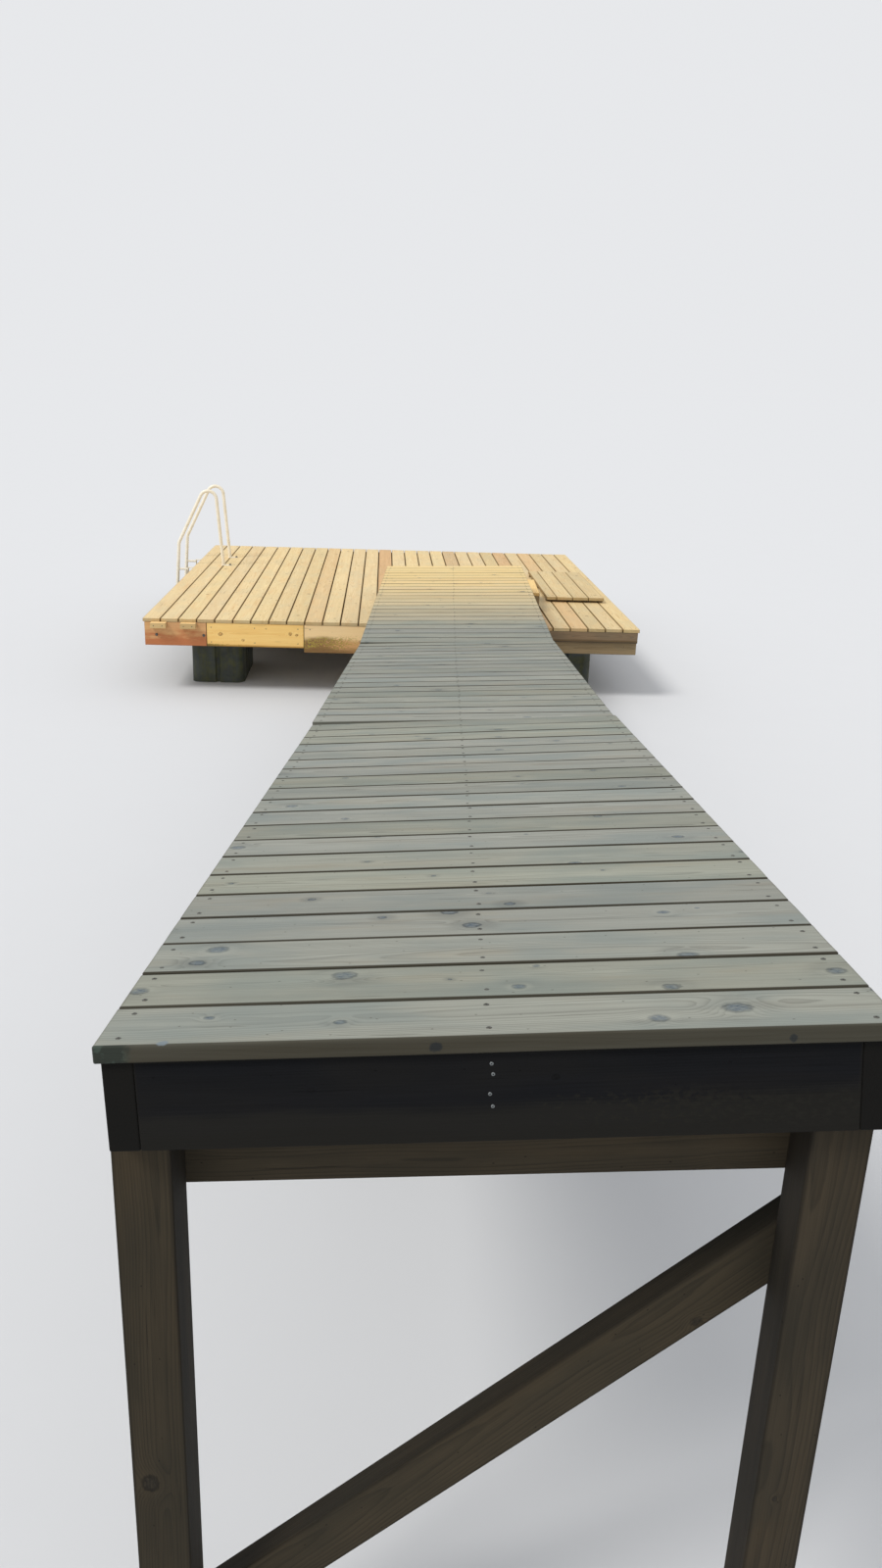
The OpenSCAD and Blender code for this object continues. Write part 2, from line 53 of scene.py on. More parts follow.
# The first board's front edge: a dark green patch at its left end, and its knots as place, radius
# and colour
GREEN_PATCH_PLACE = (0.112, -6.392, 1.622)
GREEN_PATCH_REACH = 0.062
GREEN_PATCH_COLOURS = ("1e2822", "35453d")
EDGE_KNOTS = (
    ((0.616, -6.389, 1.6555), 0.0085, "171c1f"),
    ((1.142, -6.385, 1.6875), 0.0062, "1b2022"),
    ((0.21, -6.383, 1.645), 0.0085, "748087"),
)

# Knots that stand out on the boards next to the camera: along the board, across it, radius
NEAR_KNOTS = {
    0: ((0.372, 0.004, 0.0165), (-0.237, -0.006, 0.0072), (-0.443, 0.024, 0.0065)),
    1: ((-0.247, 0.038, 0.0155), (0.288, -0.055, 0.011), (-0.069, 0.006, 0.003)),
    2: ((-0.488, 0.035, 0.014), (0.343, -0.064, 0.013), (-0.512, -0.03, 0.011)),
    3: ((-0.068, 0.064, 0.012), (0.343, 0.02, 0.009), (-0.198, 0.042, 0.007)),
    4: ((0.053, -0.046, 0.008), (-0.35, 0.02, 0.006)),
}
FASCIA_KNOTS = ((-0.29, 0.022, 0.011), (-0.345, 0.012, 0.009), (0.29, 0.006, 0.013))

# Strewn knots and specks: how many fit in a metre along and across
KNOT_CELLS = (2.7, 6.0)
SPECK_CELLS = (13.0, 21.0)

# What is stored at each point of a timber for its shader
KNOT_MARKS = ("spot_a", "spot_b", "spot_c")
MARKS = ("grain", "place", "half") + KNOT_MARKS

# Fixings of the gangway: the middle row of screws and the header's sit a little to the left
MIDDLE_ROW_ASIDE = -0.012
HEADER_SCREW_DROPS = (0.021, 0.038, 0.07, 0.09)
HEADER_SCREW_ASIDE = -0.0095
HEADER_SCREW_RADIUS = 0.0026
CAP_BOLT_RISE = 0.035
BRACE_BOLT_INSET = 0.085

# Fixings at the front of the platform, in its own frame: x to the right, y to the lake, z up
FRONT_FACE = 0.003
RED_BEAM_BOLTS = ((0.109, -0.136), (0.498, -0.135))
BLOCK_NAIL_SPREAD = 0.035
BLOCK_NAIL_YZ = (-0.057, -0.052)
FASCIA_NAILS_X = (0.56, 0.92, 1.28, 1.38, 1.9, 2.4)
FASCIA_NAILS_Z = (-0.065, -0.19)
STRIP_NAILS_X = (2.5, 3.1, 3.6, 4.1)
STRIP_NAILS_Z = -0.07

# The ruddier boards of the platform, and how ruddy they are
RUDDY_BOARDS = {9: 0.3, 13: 0.85, 18: 0.35, 22: 0.7, 24: 0.5}

# The camera, measured from the middle of the gangway's shore edge
CAMERA_PLACE = Vector((-0.103, -1.524, 0.914))
CAMERA_PITCH = radians(19.02)
CAMERA_ROLL = radians(-2.01)
CAMERA_YAW = radians(-0.28)
FOCAL_PIXELS = 1204.9
IMAGE_HEIGHT = 1600
SENSOR_WIDTH = 36

# The ladder, in the platform's own frame, as in the part
TUBE_RADIUS = 0.017
ARM_RADIUS = 0.011
RAIL_SPACING = 0.56
RAIL_FORWARD = 2.91
RAIL_FOOT = 0.292
RAIL_TOP = 0.783
RAIL_TOP_BEND = 0.085
RAIL_KNEE = (-0.168, 0.235)
RAIL_KNEE_BEND = 0.09
RAIL_FOOT_LEAN = radians(4.7)
RAIL_SLANT = radians(63.7)
RAIL_LEG_LEAN = radians(4)
RAIL_CLEAR = 0.02
FLANGE_HEIGHT = 0.006
FLANGE_BOLT = 0.07
ARM_DROP = 0.048
BRACKET_REACH = 0.083
BRACKET_BOLT = (0.0065, 0.013, -0.062)
TREAD_DROPS = (0.25, 0.495)
GRIP_RADIUS = 0.0016
GRIP_PITCH = 0.0105
GRIP_INSET = 0.006
MIDDLE_GRIP_INSET = 0.018
UP = Vector((0, 0, 1))

# The floats' plugs: from the float's middle, and up from its underside; then radius and height
PLUG_FORWARD = 0.3985
PLUG_ASIDE = 0.12
PLUG_RISE = 0.24
PLUG_PROFILE = ((0.034, -0.004), (0.034, 0.004), (0.031, 0.007), (0.02, 0.0075), (0.018, 0.012),
                (0.012, 0.013))

# The studio
FLOOR_REACH = 300
FLOOR_PAPER = ((0.651, 0.661, 0.676, 1), (0.659, 0.669, 0.684, 1))
SURROUND = (0.80, 0.81, 0.83, 1)
KEY_LIGHT_FROM = Vector((-0.75, -0.55, 1.15))
KEY_LIGHT_ENERGY = 1.7
KEY_LIGHT_COLOUR = (1.0, 0.97, 0.93)
KEY_LIGHT_SPREAD = radians(18)


# Shader helpers

def rgb(code):
    """A linear colour from its six-digit screen code."""
    screen = [int(code[i:i + 2], 16) / 255 for i in (0, 2, 4)]
    linear = [c / 12.92 if c <= 0.04045 else ((c + 0.055) / 1.055) ** 2.4 for c in screen]
    return (*linear, 1.0)


class Wire:
    """One output socket of a shader, with the arithmetic of numbers."""

    def __init__(self, shader, socket):
        self.shader = shader
        self.socket = socket

    def math(self, operation, *values):
        return self.shader.node("ShaderNodeMath", dict(enumerate(values)), operation=operation)

    def __add__(self, other):
        return self.math("ADD", self, other)

    def __sub__(self, other):
        return self.math("SUBTRACT", self, other)

    def __rsub__(self, other):
        return self.math("SUBTRACT", other, self)

    def __mul__(self, other):
        return self.math("MULTIPLY", self, other)

    def __truediv__(self, other):
        return self.math("DIVIDE", self, other)

    def __rtruediv__(self, other):
        return self.math("DIVIDE", other, self)

    def __pow__(self, other):
        return self.math("POWER", self, other)

    __radd__ = __add__
    __rmul__ = __mul__

    def abs(self):
        return self.math("ABSOLUTE", self)

    def exponent(self):
        return self.math("EXPONENT", self)

    def fract(self):
        return self.math("FRACT", self)

    def least(self, other):
        return self.math("MINIMUM", self, other)

    def most(self, other):
        return self.math("MAXIMUM", self, other)

    def step(self, start, end, low=0.0, high=1.0):
        """Rises smoothly from low to high between start and end."""
        return self.shader.node(
            "ShaderNodeMapRange", {0: self, 1: start, 2: end, 3: low, 4: high},
            interpolation_type="SMOOTHSTEP")

    def other(self, name):
        """Another output of the same node."""
        return Wire(self.shader, self.socket.node.outputs[name])


class Shader:
    """A material with its Principled shader and one method for every other node."""

    def __init__(self, name, **constants):
        self.material = bpy.data.materials.new(name)
        self.material.use_nodes = True
        self.tree = self.material.node_tree
        self.tree.nodes.clear()
        self.surface = self.tree.nodes.new("ShaderNodeBsdfPrincipled")
        output = self.tree.nodes.new("ShaderNodeOutputMaterial")
        self.tree.links.new(self.surface.outputs[0], output.inputs[0])
        for key, value in constants.items():
            socket = key.replace("_", " ").title().replace("Ior", "IOR")
            self.surface.inputs[socket].default_value = value

    def node(self, kind, inputs=None, output=0, **settings):
        made = self.tree.nodes.new(kind)
        for key, value in settings.items():
            setattr(made, key, value)
        for key, value in (inputs or {}).items():
            if isinstance(value, Wire):
                self.tree.links.new(value.socket, made.inputs[key])
            else:
                made.inputs[key].default_value = value
        return Wire(self, made.outputs[output])

    def attribute(self, name, output="Vector"):
        return self.node("ShaderNodeAttribute", output=output, attribute_name=name)

    def spot(self):
        """The place on the piece, in metres of the shared frame."""
        return self.node("ShaderNodeTexCoord", output="Object")

    def split(self, vector):
        x = self.node("ShaderNodeSeparateXYZ", {0: vector})
        return x, x.other("Y"), x.other("Z")

    def join(self, x=0.0, y=0.0, z=0.0):
        return self.node("ShaderNodeCombineXYZ", {0: x, 1: y, 2: z})

    def noise(self, vector, detail=2.0, scale=1.0, roughness=0.5):
        return self.node(
            "ShaderNodeTexNoise",
            {"Vector": vector, "Scale": scale, "Detail": detail, "Roughness": roughness})

    def cells(self, x, y, output, randomness=1.0):
        """Scattered points in a plane: their distance, or their place."""
        return self.node(
            "ShaderNodeTexVoronoi",
            {"Vector": self.join(x, y), "Scale": 1.0, "Randomness": randomness},
            output, voronoi_dimensions="2D")

    def distance(self, first, second):
        return self.node(
            "ShaderNodeVectorMath", {0: first, 1: second}, "Value", operation="DISTANCE")

    def mix(self, factor, first, second, blend="MIX"):
        return self.node(
            "ShaderNodeMix", {0: factor, 6: first, 7: second}, 2,
            data_type="RGBA", blend_type=blend)

    def set(self, name, wire):
        self.tree.links.new(wire.socket, self.surface.inputs[name])

    def bump(self, height, strength, distance):
        self.set("Normal", self.node(
            "ShaderNodeBump", {"Strength": strength, "Distance": distance, "Height": height}))


# Materials

def knot_field(shader, dx, dy, radius, ragged):
    """A knot's inside, rim and pale halo, its push on the growth rings, and its nearness."""
    near = ((dx * 0.8) ** 2 + dy ** 2) ** 0.5 / radius.most(0.0001)
    torn = near + ragged
    present = radius.step(0.001, 0.003)
    inside = torn.step(1.15, 0.6) * present
    rim = torn.step(0.6, 0.95) * torn.step(1.35, 1.0) * present
    halo = near.step(1.0, 1.3) * near.step(2.6, 1.4) * present
    push = (near * near * -0.22).exponent() * radius * 1.3
    return inside, rim, halo, push, near


def front_edge_marks(shader, colour, wall):
    """The dark green patch and the knots in the first board's front edge."""
    spot = shader.spot()
    cloud = shader.noise(spot, 4.0, 45.0, 0.6)
    away = shader.distance(spot, GREEN_PATCH_PLACE) + (cloud - 0.5) * GREEN_PATCH_REACH * 0.8
    bloom = shader.mix(cloud.step(0.5, 0.62), *[rgb(code) for code in GREEN_PATCH_COLOURS])
    green_patch = away.step(GREEN_PATCH_REACH, GREEN_PATCH_REACH * 0.6) * wall * 0.9
    colour = shader.mix(green_patch, colour, bloom)
    for place, radius, code in EDGE_KNOTS:
        away = shader.distance(spot, place) + (cloud - 0.5) * radius * 2.2
        colour = shader.mix(away.step(radius * 1.2, radius * 0.7) * 0.85, colour, rgb(code))
    return colour


def wood(name, pale, dark, knot, *, contrast=0.55, knots=0.55, weather=0.3,
         weather_colour="7f8272", warm=0.25, warm_colour="b79a6c", rim_colour="4c4a42",
         edge_colour="5d5b45", crack="3c3628", stripe=0.8, fade=0.16, smoke=0.0, gloss=0.3,
         roughness=0.72, sawn=(0.45, 0.0015), side=0.8, side_colour="5a5140",
         seam=(0.005, 0.0016), lip=0.7, lower_band=None, stain=None, waterline=None, ruddy_and_sunlit_colours=None,
         front_marks=False):
    """Sawn softwood: growth rings round a pith, knots, fibre, weathering, dirty edges and painted
    shade in the joints.

    sawn       strength and depth of the dark sawn ends
    side       how dark the sides are, painted shade with some dirt
    seam       distances from the side at which its darkness starts and is full
    lip        how much of that darkness there is at the side's upper edge
    lower_band height of a band along the lower edge, and its three colours, wet, mossy and muddy
    on most woods
    stain      colour of an old coat of stain, and where it wears off
    waterline  colours below the water's level and at it
    ruddy_and_sunlit_colours  pale, dark, weathered and warm colour of the ruddier boards, and of
    the gangway's boards in painted sunlight
    """
    shader = Shader(name, specular_ior_level=gloss)
    grain = shader.attribute("grain")
    x, y, z = shader.split(grain)
    px, py, pz = shader.split(shader.attribute("place"))
    hx, hy, hz = shader.split(shader.attribute("half"))
    tone = shader.attribute("tone", "Fac")

    # Knots: some strewn along the timber, and a few listed one by one
    knots_along, knots_across = KNOT_CELLS
    cell = shader.cells(x * knots_along, y * knots_across, "Position", 0.9)
    cx, cy, _ = shader.split(cell)
    chance, girth, _ = shader.split(cell.other("Color"))
    strewn = (girth * girth * 0.010 + 0.004) * chance.step(1 - knots, 1.02 - knots)
    wander = shader.noise(shader.join(x * 55.0, y * 55.0, tone * 7.0), 2.0) - 0.5
    mottle = shader.noise(shader.join(x * 95.0, y * 210.0, tone * 3.0), 3.0, roughness=0.6)
    ragged = (mottle - 0.5) * 0.9
    inside, rim, halo, push, near = knot_field(
        shader, x - cx / knots_along + wander * 0.006, y - cy / knots_across + wander * 0.004,
        strewn, ragged)
    for mark in KNOT_MARKS:
        sx, sy, size = shader.split(shader.attribute(mark))
        more = knot_field(
            shader, px - sx + wander * 0.009, py - sy + wander * 0.006, size, ragged)
        inside = inside.most(more[0])
        rim = rim.most(more[1])
        halo = halo.most(more[2])
        push = push + more[3]
        near = near.least(more[4])

    # Growth rings bend slowly along the timber and flow round the knots
    drift_a = shader.noise(shader.join(x * 0.9, tone * 31.0), 2.0)
    drift_b = shader.noise(shader.join(x * 0.7, tone * 53.0, 4.0), 2.0)
    wobble = shader.noise(shader.join(x * 5.0, y * 30.0, z * 30.0), 3.0)
    radius = ((y + (drift_a - 0.5) * 0.09) ** 2 + (z + (drift_b - 0.5) * 0.05) ** 2) ** 0.5
    phase = ((radius + push + (wobble - 0.5) * 0.004) / GROWTH_RING).fract()
    late = phase ** 2.4 * phase.step(1.0, 0.9)
    fibre = shader.noise(shader.join(x * 7.0, y * 420.0, z * 420.0), 4.0, roughness=0.6)
    streak = shader.noise(shader.join(x * 1.4, y * 38.0, z * 38.0), 3.0)
    blotch = shader.noise(shader.join(x * 3.1, y * 8.0 + tone * 9.0, z * 8.0), 3.0)
    patch = shader.noise(
        shader.join(x * 2.2 + 7.0, y * 15.0 - tone * 5.0, z * 15.0), 4.0, roughness=0.6)
    check = shader.noise(shader.join(x * 3.5, y * 150.0, z * 150.0), 2.0).step(0.69, 0.75)
    dot = shader.cells(x * SPECK_CELLS[0], y * SPECK_CELLS[1], "Distance")
    often, _, _ = shader.split(dot.other("Color"))
    speck = dot.step(0.035, 0.015) * often.step(0.62, 0.66)

    colours = [rgb(pale), rgb(dark), rgb(weather_colour), rgb(warm_colour)]
    # Ruddier boards on the platform; on the gangway's outer bay, painted sunlight
    if ruddy_and_sunlit_colours:
        ruddy_and_painted_sun = shader.attribute("ruddy_and_painted_sun", "Fac")
        colours = [
            shader.mix(ruddy_and_painted_sun, old, rgb(ruddy_and_sunlit)) for old, ruddy_and_sunlit in zip(colours, ruddy_and_sunlit_colours)]
    tint = late * contrast + (fibre - 0.5) * 0.7 + (streak - 0.45) * stripe
    colour = shader.mix(tint.step(-0.3, 0.95), colours[0], colours[1])
    colour = shader.mix(patch.step(0.48, 0.72) * warm, colour, colours[3])
    colour = shader.mix(blotch.step(0.42, 0.68) * weather, colour, colours[2])
    if stain:
        worn = shader.noise(shader.join(x * 6.0, y * 22.0, z * 22.0), 4.0, roughness=0.65)
        depth = 1.0 - (py + hy) / (hy * 2.0)
        cover = depth + (worn - 0.5) * 1.5 + (streak - 0.5) * 0.5
        cover = cover.step(stain[1], stain[1] + 0.7)
        colour = shader.mix(cover * 0.85, colour, rgb(stain[0]))
    colour = shader.mix(halo * 0.3, colour, colours[0])
    if smoke:
        haze = near.step(4.5, 1.0) * patch.step(0.4, 0.62) * smoke
        colour = shader.mix(haze, colour, rgb(rim_colour))
    colour = shader.mix(inside * mottle.step(0.3, 0.65, 0.25, 0.8), colour, rgb(knot))
    colour = shader.mix(rim * patch.step(0.3, 0.7, 0.1, 0.85), colour, rgb(rim_colour))
    colour = shader.mix(inside * mottle.step(0.57, 0.66) * 0.6, colour, rgb(rim_colour))
    colour = shader.mix((check * 0.5).most(speck * 0.7), colour, rgb(crack))

    # Dirt in the sawn ends and along the edges; the sides darken down into the joints, painted
    # shade with some dirt
    edge = (hy - py.abs()).least(hx - px.abs() + 0.002)
    grime = (edge + (blotch - 0.5) * 0.006).step(0.008, 0.0) * (0.35 + streak * 0.4)
    ends = (hx - px.abs()).step(sawn[1], 0.0)
    colour = shader.mix(grime.most(ends * sawn[0]), colour, rgb(edge_colour))
    if side:
        wall = (hy - py.abs()).step(*seam) * shader.attribute("side_shade_and_dirt", "Fac")
        depth = ((hz - pz) / hz).step(0.0, 0.8, lip, 1.0)
        colour = shader.mix(wall * depth * (0.8 + streak * 0.4) * side, colour, rgb(side_colour))
        if front_marks:
            colour = front_edge_marks(shader, colour, wall)
    if lower_band:
        height, wet, moss, mud = lower_band
        level = py + hy + (blotch - 0.5) * height * 0.9 + (fibre - 0.5) * height * 0.3
        colour = shader.mix(level.step(height, height * 0.6) * 0.8, colour, rgb(wet))
        tufts = shader.noise(shader.join(px * 70.0, py * 110.0, tone), 3.0, roughness=0.65)
        growth = level.step(height * 1.2, height * 0.8)
        growth = growth * (tufts + (px - 0.3) * 0.8).step(0.4, 0.52)
        growth_colour = shader.mix(tufts.step(0.45, 0.65), rgb(mud), rgb(moss))
        colour = shader.mix(growth * 0.9, colour, growth_colour)
        colour = shader.mix(level.step(height * 0.45, height * 0.15) * 0.8, colour, rgb(mud))
    if waterline:
        _, _, above = shader.split(shader.spot())
        above = above + (blotch - 0.5) * 0.05 + (streak - 0.5) * 0.05 - WATERLINE
        slime = (patch + fibre * 0.5).step(0.6, 0.9, 0.35, 0.95)
        colour = shader.mix(above.step(0.015, -0.03) * slime, colour, rgb(waterline[0]))
        crust = above.abs().step(0.02, 0.004) * fibre.step(0.3, 0.6)
        colour = shader.mix(crust * 0.7, colour, rgb(waterline[1]))
    shade = tone.step(0.0, 1.0, 1.0 - fade, 1.0)
    hue = (tone * 7.3).fract().step(0.0, 1.0, 0.96, 1.03)
    board_tone_and_shade = shader.node("ShaderNodeCombineColor", {0: shade, 1: shade, 2: shade * hue})
    colour = shader.mix(1.0, colour, board_tone_and_shade, "MULTIPLY")
    shader.set("Base Color", colour)
    shader.set("Roughness", roughness + (fibre - 0.5) * 0.2 - inside * 0.12)
    relief = fibre * 0.5 - late * 0.25 - check * 0.8 + inside * 0.3 + streak * 0.4
    shader.bump(relief, 0.55, 0.0011)
    return shader.material


def zinc(name, colour, rust):
    """Galvanised steel with a spangle and a little rust."""
    shader = Shader(name, metallic=1.0)
    spot = shader.spot()
    spangle = shader.node("ShaderNodeTexVoronoi", {"Vector": spot, "Scale": 900.0}, "Color")
    flake, _, _ = shader.split(spangle)
    patch = shader.noise(spot, 4.0, 160.0, 0.65)
    brown = patch.step(0.62, 0.72) * rust
    base = shader.mix(flake * 0.35, rgb(colour), rgb("5e6160"))
    shader.set("Base Color", shader.mix(brown, base, rgb("6a3d22")))
    shader.set("Metallic", 1.0 - brown)
    shader.set("Roughness", 0.38 + flake * 0.2 + brown * 0.35)
    shader.bump(patch + flake * 0.2, 0.25, 0.0004)
    return shader.material


def cream_paint(name):
    """Thick cream paint on steel tube, with dust, chips, rust bleeding and a film below the
    waterline.
    """
    shader = Shader(name, coat_weight=0.15, coat_roughness=0.25)
    spot = shader.spot()
    _, _, level = shader.split(spot)
    orange_peel = shader.noise(spot, 2.0, 420.0)
    dust = shader.noise(spot, 4.0, 14.0, 0.6)
    flaw = shader.noise(spot, 5.0, 95.0, 0.6)
    low = level.step(0.75, 0.55, 0.0, 0.05)
    chip = (flaw + low).step(0.70, 0.715)
    bleed = (flaw + low).step(0.63, 0.72)
    colour = shader.mix(dust.step(0.35, 0.75) * 0.5, rgb("f1e9d6"), rgb("d8caa9"))
    colour = shader.mix(bleed * 0.55, colour, rgb("a9773f"))
    colour = shader.mix(chip, colour, rgb("5a3420"))
    film = (level + (dust - 0.5) * 0.1).step(WATERLINE + 0.03, WATERLINE - 0.06)
    colour = shader.mix(film * 0.6, colour, rgb("6f6a3c"))
    shader.set("Base Color", colour)
    shader.set("Roughness", 0.36 + dust * 0.15 + chip * 0.35 + film * 0.2)
    shader.bump(orange_peel * 0.3 - chip * 1.0, 0.3, 0.0004)
    return shader.material


def float_plastic(name):
    """Moulded plastic with scuffs and runs, and a patchy film of algae under the waterline."""
    shader = Shader(name, specular_ior_level=0.45)
    spot = shader.spot()
    x, y, level = shader.split(spot)
    pebble = shader.noise(spot, 3.0, 700.0, 0.6)
    cloud = shader.noise(spot, 4.0, 5.0, 0.55)
    tuft = shader.noise(spot, 5.0, 16.0, 0.62)
    runs = shader.noise(shader.join(x * 26.0, y * 26.0, level * 2.6), 4.0, roughness=0.6)
    scratch = shader.noise(
        shader.join(x * 30.0, y * 30.0, level * 210.0), 4.0, roughness=0.7)
    scuff = scratch.step(0.6, 0.72)
    colour = shader.mix(cloud.step(0.3, 0.7), rgb("2b3034"), rgb("454b4f"))
    colour = shader.mix(scuff * 0.4, colour, rgb("777d80"))
    under = (level + (cloud - 0.5) * 0.1).step(WATERLINE + 0.01, WATERLINE - 0.08)
    film = under * (runs * 0.8 + tuft * 0.4).step(0.45, 0.8, 0.35, 0.9)
    algae = shader.mix(tuft.step(0.3, 0.7), rgb("393c24"), rgb("52532f"))
    colour = shader.mix(film, colour, algae)
    crust = under * shader.noise(spot, 4.0, 60.0, 0.7).step(0.68, 0.74) * runs.step(0.4, 0.6)
    colour = shader.mix(crust * 0.5, colour, rgb("8a866a"))
    edge = (level + (cloud - 0.5) * 0.012 - WATERLINE).abs().step(0.012, 0.0)
    colour = shader.mix(edge * 0.55, colour, rgb("9a9678"))
    shader.set("Base Color", colour)
    shader.set("Roughness", 0.5 + film * 0.3 + pebble * 0.12)
    shader.bump(pebble + film * tuft * 1.5 + crust, 0.4, 0.0009)
    return shader.material


def black_rubber(name):
    """Matt rubber with a dusty bloom."""
    shader = Shader(name)
    spot = shader.spot()
    bloom = shader.noise(spot, 4.0, 60.0)
    shader.set("Base Color", shader.mix(bloom, rgb("17181a"), rgb("3a3a36")))
    shader.set("Roughness", 0.7 + bloom * 0.2)
    shader.bump(bloom, 0.3, 0.0005)
    return shader.material


# Pieces

class Shape:
    """Points, faces and shading marks of one piece."""

    def __init__(self):
        self.points = []
        self.faces = []
        self.marks = {name: [] for name in MARKS}
        self.tones = []
        self.ruddy_and_painted_sun_values = []
        self.side_shade_and_dirt_values = []

    def add(self, points, faces, marks=None, tone=0.5, ruddy_and_painted_sun=0.0, side_shade_and_dirt=1.0):
        start = len(self.points)
        self.points += [tuple(p) for p in points]
        self.faces += [[start + i for i in face] for face in faces]
        for name in MARKS:
            values = marks[name] if marks else [(0, 0, 0)] * len(points)
            self.marks[name] += [tuple(v) for v in values]
        self.tones += [tone] * len(points)
        self.ruddy_and_painted_sun_values += [ruddy_and_painted_sun] * len(points)
        self.side_shade_and_dirt_values += [side_shade_and_dirt] * len(points)

    def piece(self, name, material, slot, nodes=(), wood_marks=False):
        mesh = bpy.data.meshes.new(name)
        mesh.from_pydata(self.points, [], self.faces)
        if wood_marks:
            for mark, values in self.marks.items():
                layer = mesh.attributes.new(mark, "FLOAT_VECTOR", "POINT")
                layer.data.foreach_set("vector", [c for value in values for c in value])
            plain = {"tone": self.tones, "ruddy_and_painted_sun": self.ruddy_and_painted_sun_values, "side_shade_and_dirt": self.side_shade_and_dirt_values}
            for mark, values in plain.items():
                layer = mesh.attributes.new(mark, "FLOAT", "POINT")
                layer.data.foreach_set("value", values)
        mesh.validate()
        mesh.shade_smooth()
        mesh.set_sharp_from_angle(angle=radians(50))
        mesh.materials.append(material)
        piece = bpy.data.objects.new(name, mesh)
        bpy.context.collection.objects.link(piece)
        normals = piece.modifiers.new("normals", "WEIGHTED_NORMAL")
        normals.keep_sharp = True
        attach(piece, "root")
        if nodes:
            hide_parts(*nodes)


class Timber:
    """One straight solid of the frame, with axes along, across and up through its thickness."""

    def __init__(self, mesh):
        self.mesh = mesh
        # The largest pair of sides faces up, the next one across
        sides = []
        for face in mesh.faces:
            for side in sides:
                if abs(side[1].dot(face.normal)) > 0.9995:
                    side[0] += face.calc_area()
                    break
            else:
                sides.append([face.calc_area(), face.normal.copy()])
        sides.sort(key=lambda side: -side[0])
        self.up = sides[0][1].copy()
        self.across = next(n for _, n in sides[1:] if abs(n.dot(self.up)) < 0.3).copy()
        self.across = (self.across - self.up * self.across.dot(self.up)).normalized()
        # Up and across point up, or else to the lake; along points right or to the lake
        if self.up.z + 0.1 * self.up.y < 0:
            self.up.negate()
        if self.across.z * 5 + self.across.y + self.across.x * 0.1 < 0:
            self.across.negate()
        self.along = self.across.cross(self.up)
        if abs(self.up.z) > 0.9 and self.along.x + self.along.y < 0:
            self.along.negate()
            self.across.negate()
        points = [v.co for v in mesh.verts]
        axes = (self.along, self.across, self.up)
        low = [min(p.dot(a) for p in points) for a in axes]
        high = [max(p.dot(a) for p in points) for a in axes]
        self.half = Vector([(h - l) / 2 for l, h in zip(low, high)])
        self.centre = sum((a * (l + h) / 2 for a, l, h in zip(axes, low, high)), Vector())

    def local(self, point):
        offset = point - self.centre
        return Vector((offset.dot(self.along), offset.dot(self.across), offset.dot(self.up)))

    def world(self, x, y, z):
        return self.centre + self.along * x + self.across * y + self.up * z


def solids(node):
    """The separate solids of a node as timbers, from shore to lake and left to right."""
    whole = bmesh.new()
    whole.from_mesh(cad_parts[node].data)
    bmesh.ops.remove_doubles(whole, verts=whole.verts, dist=1e-5)
    whole.verts.index_update()
    group = {}
    for seed in whole.verts:
        if seed in group:
            continue
        group[seed] = seed
        waiting = [seed]
        while waiting:
            for edge in waiting.pop().link_edges:
                for vert in edge.verts:
                    if vert not in group:
                        group[vert] = seed
                        waiting.append(vert)
    found = []
    for seed in dict.fromkeys(group.values()):
        part = bmesh.new()
        copies = {v: part.verts.new(v.co) for v in whole.verts if group[v] is seed}
        for face in whole.faces:
            if face.verts[0] in copies:
                part.faces.new([copies[v] for v in face.verts])
        part.normal_update()
        bmesh.ops.dissolve_limit(part, angle_limit=0.002, verts=part.verts, edges=part.edges)
        part.normal_update()
        found.append(Timber(part))
    whole.free()
    return sorted(found, key=lambda t: (round(t.centre.y, 2), t.centre.x))


def slice_across(mesh, timber, axis, count, half):
    """Cuts the mesh into count equal lengths along an axis."""
    for i in range(1, count):
        place = timber.centre + axis * half * (2 * i / count - 1)
        everything = mesh.verts[:] + mesh.edges[:] + mesh.faces[:]
        bmesh.ops.bisect_plane(mesh, geom=everything, plane_co=place, plane_no=axis)


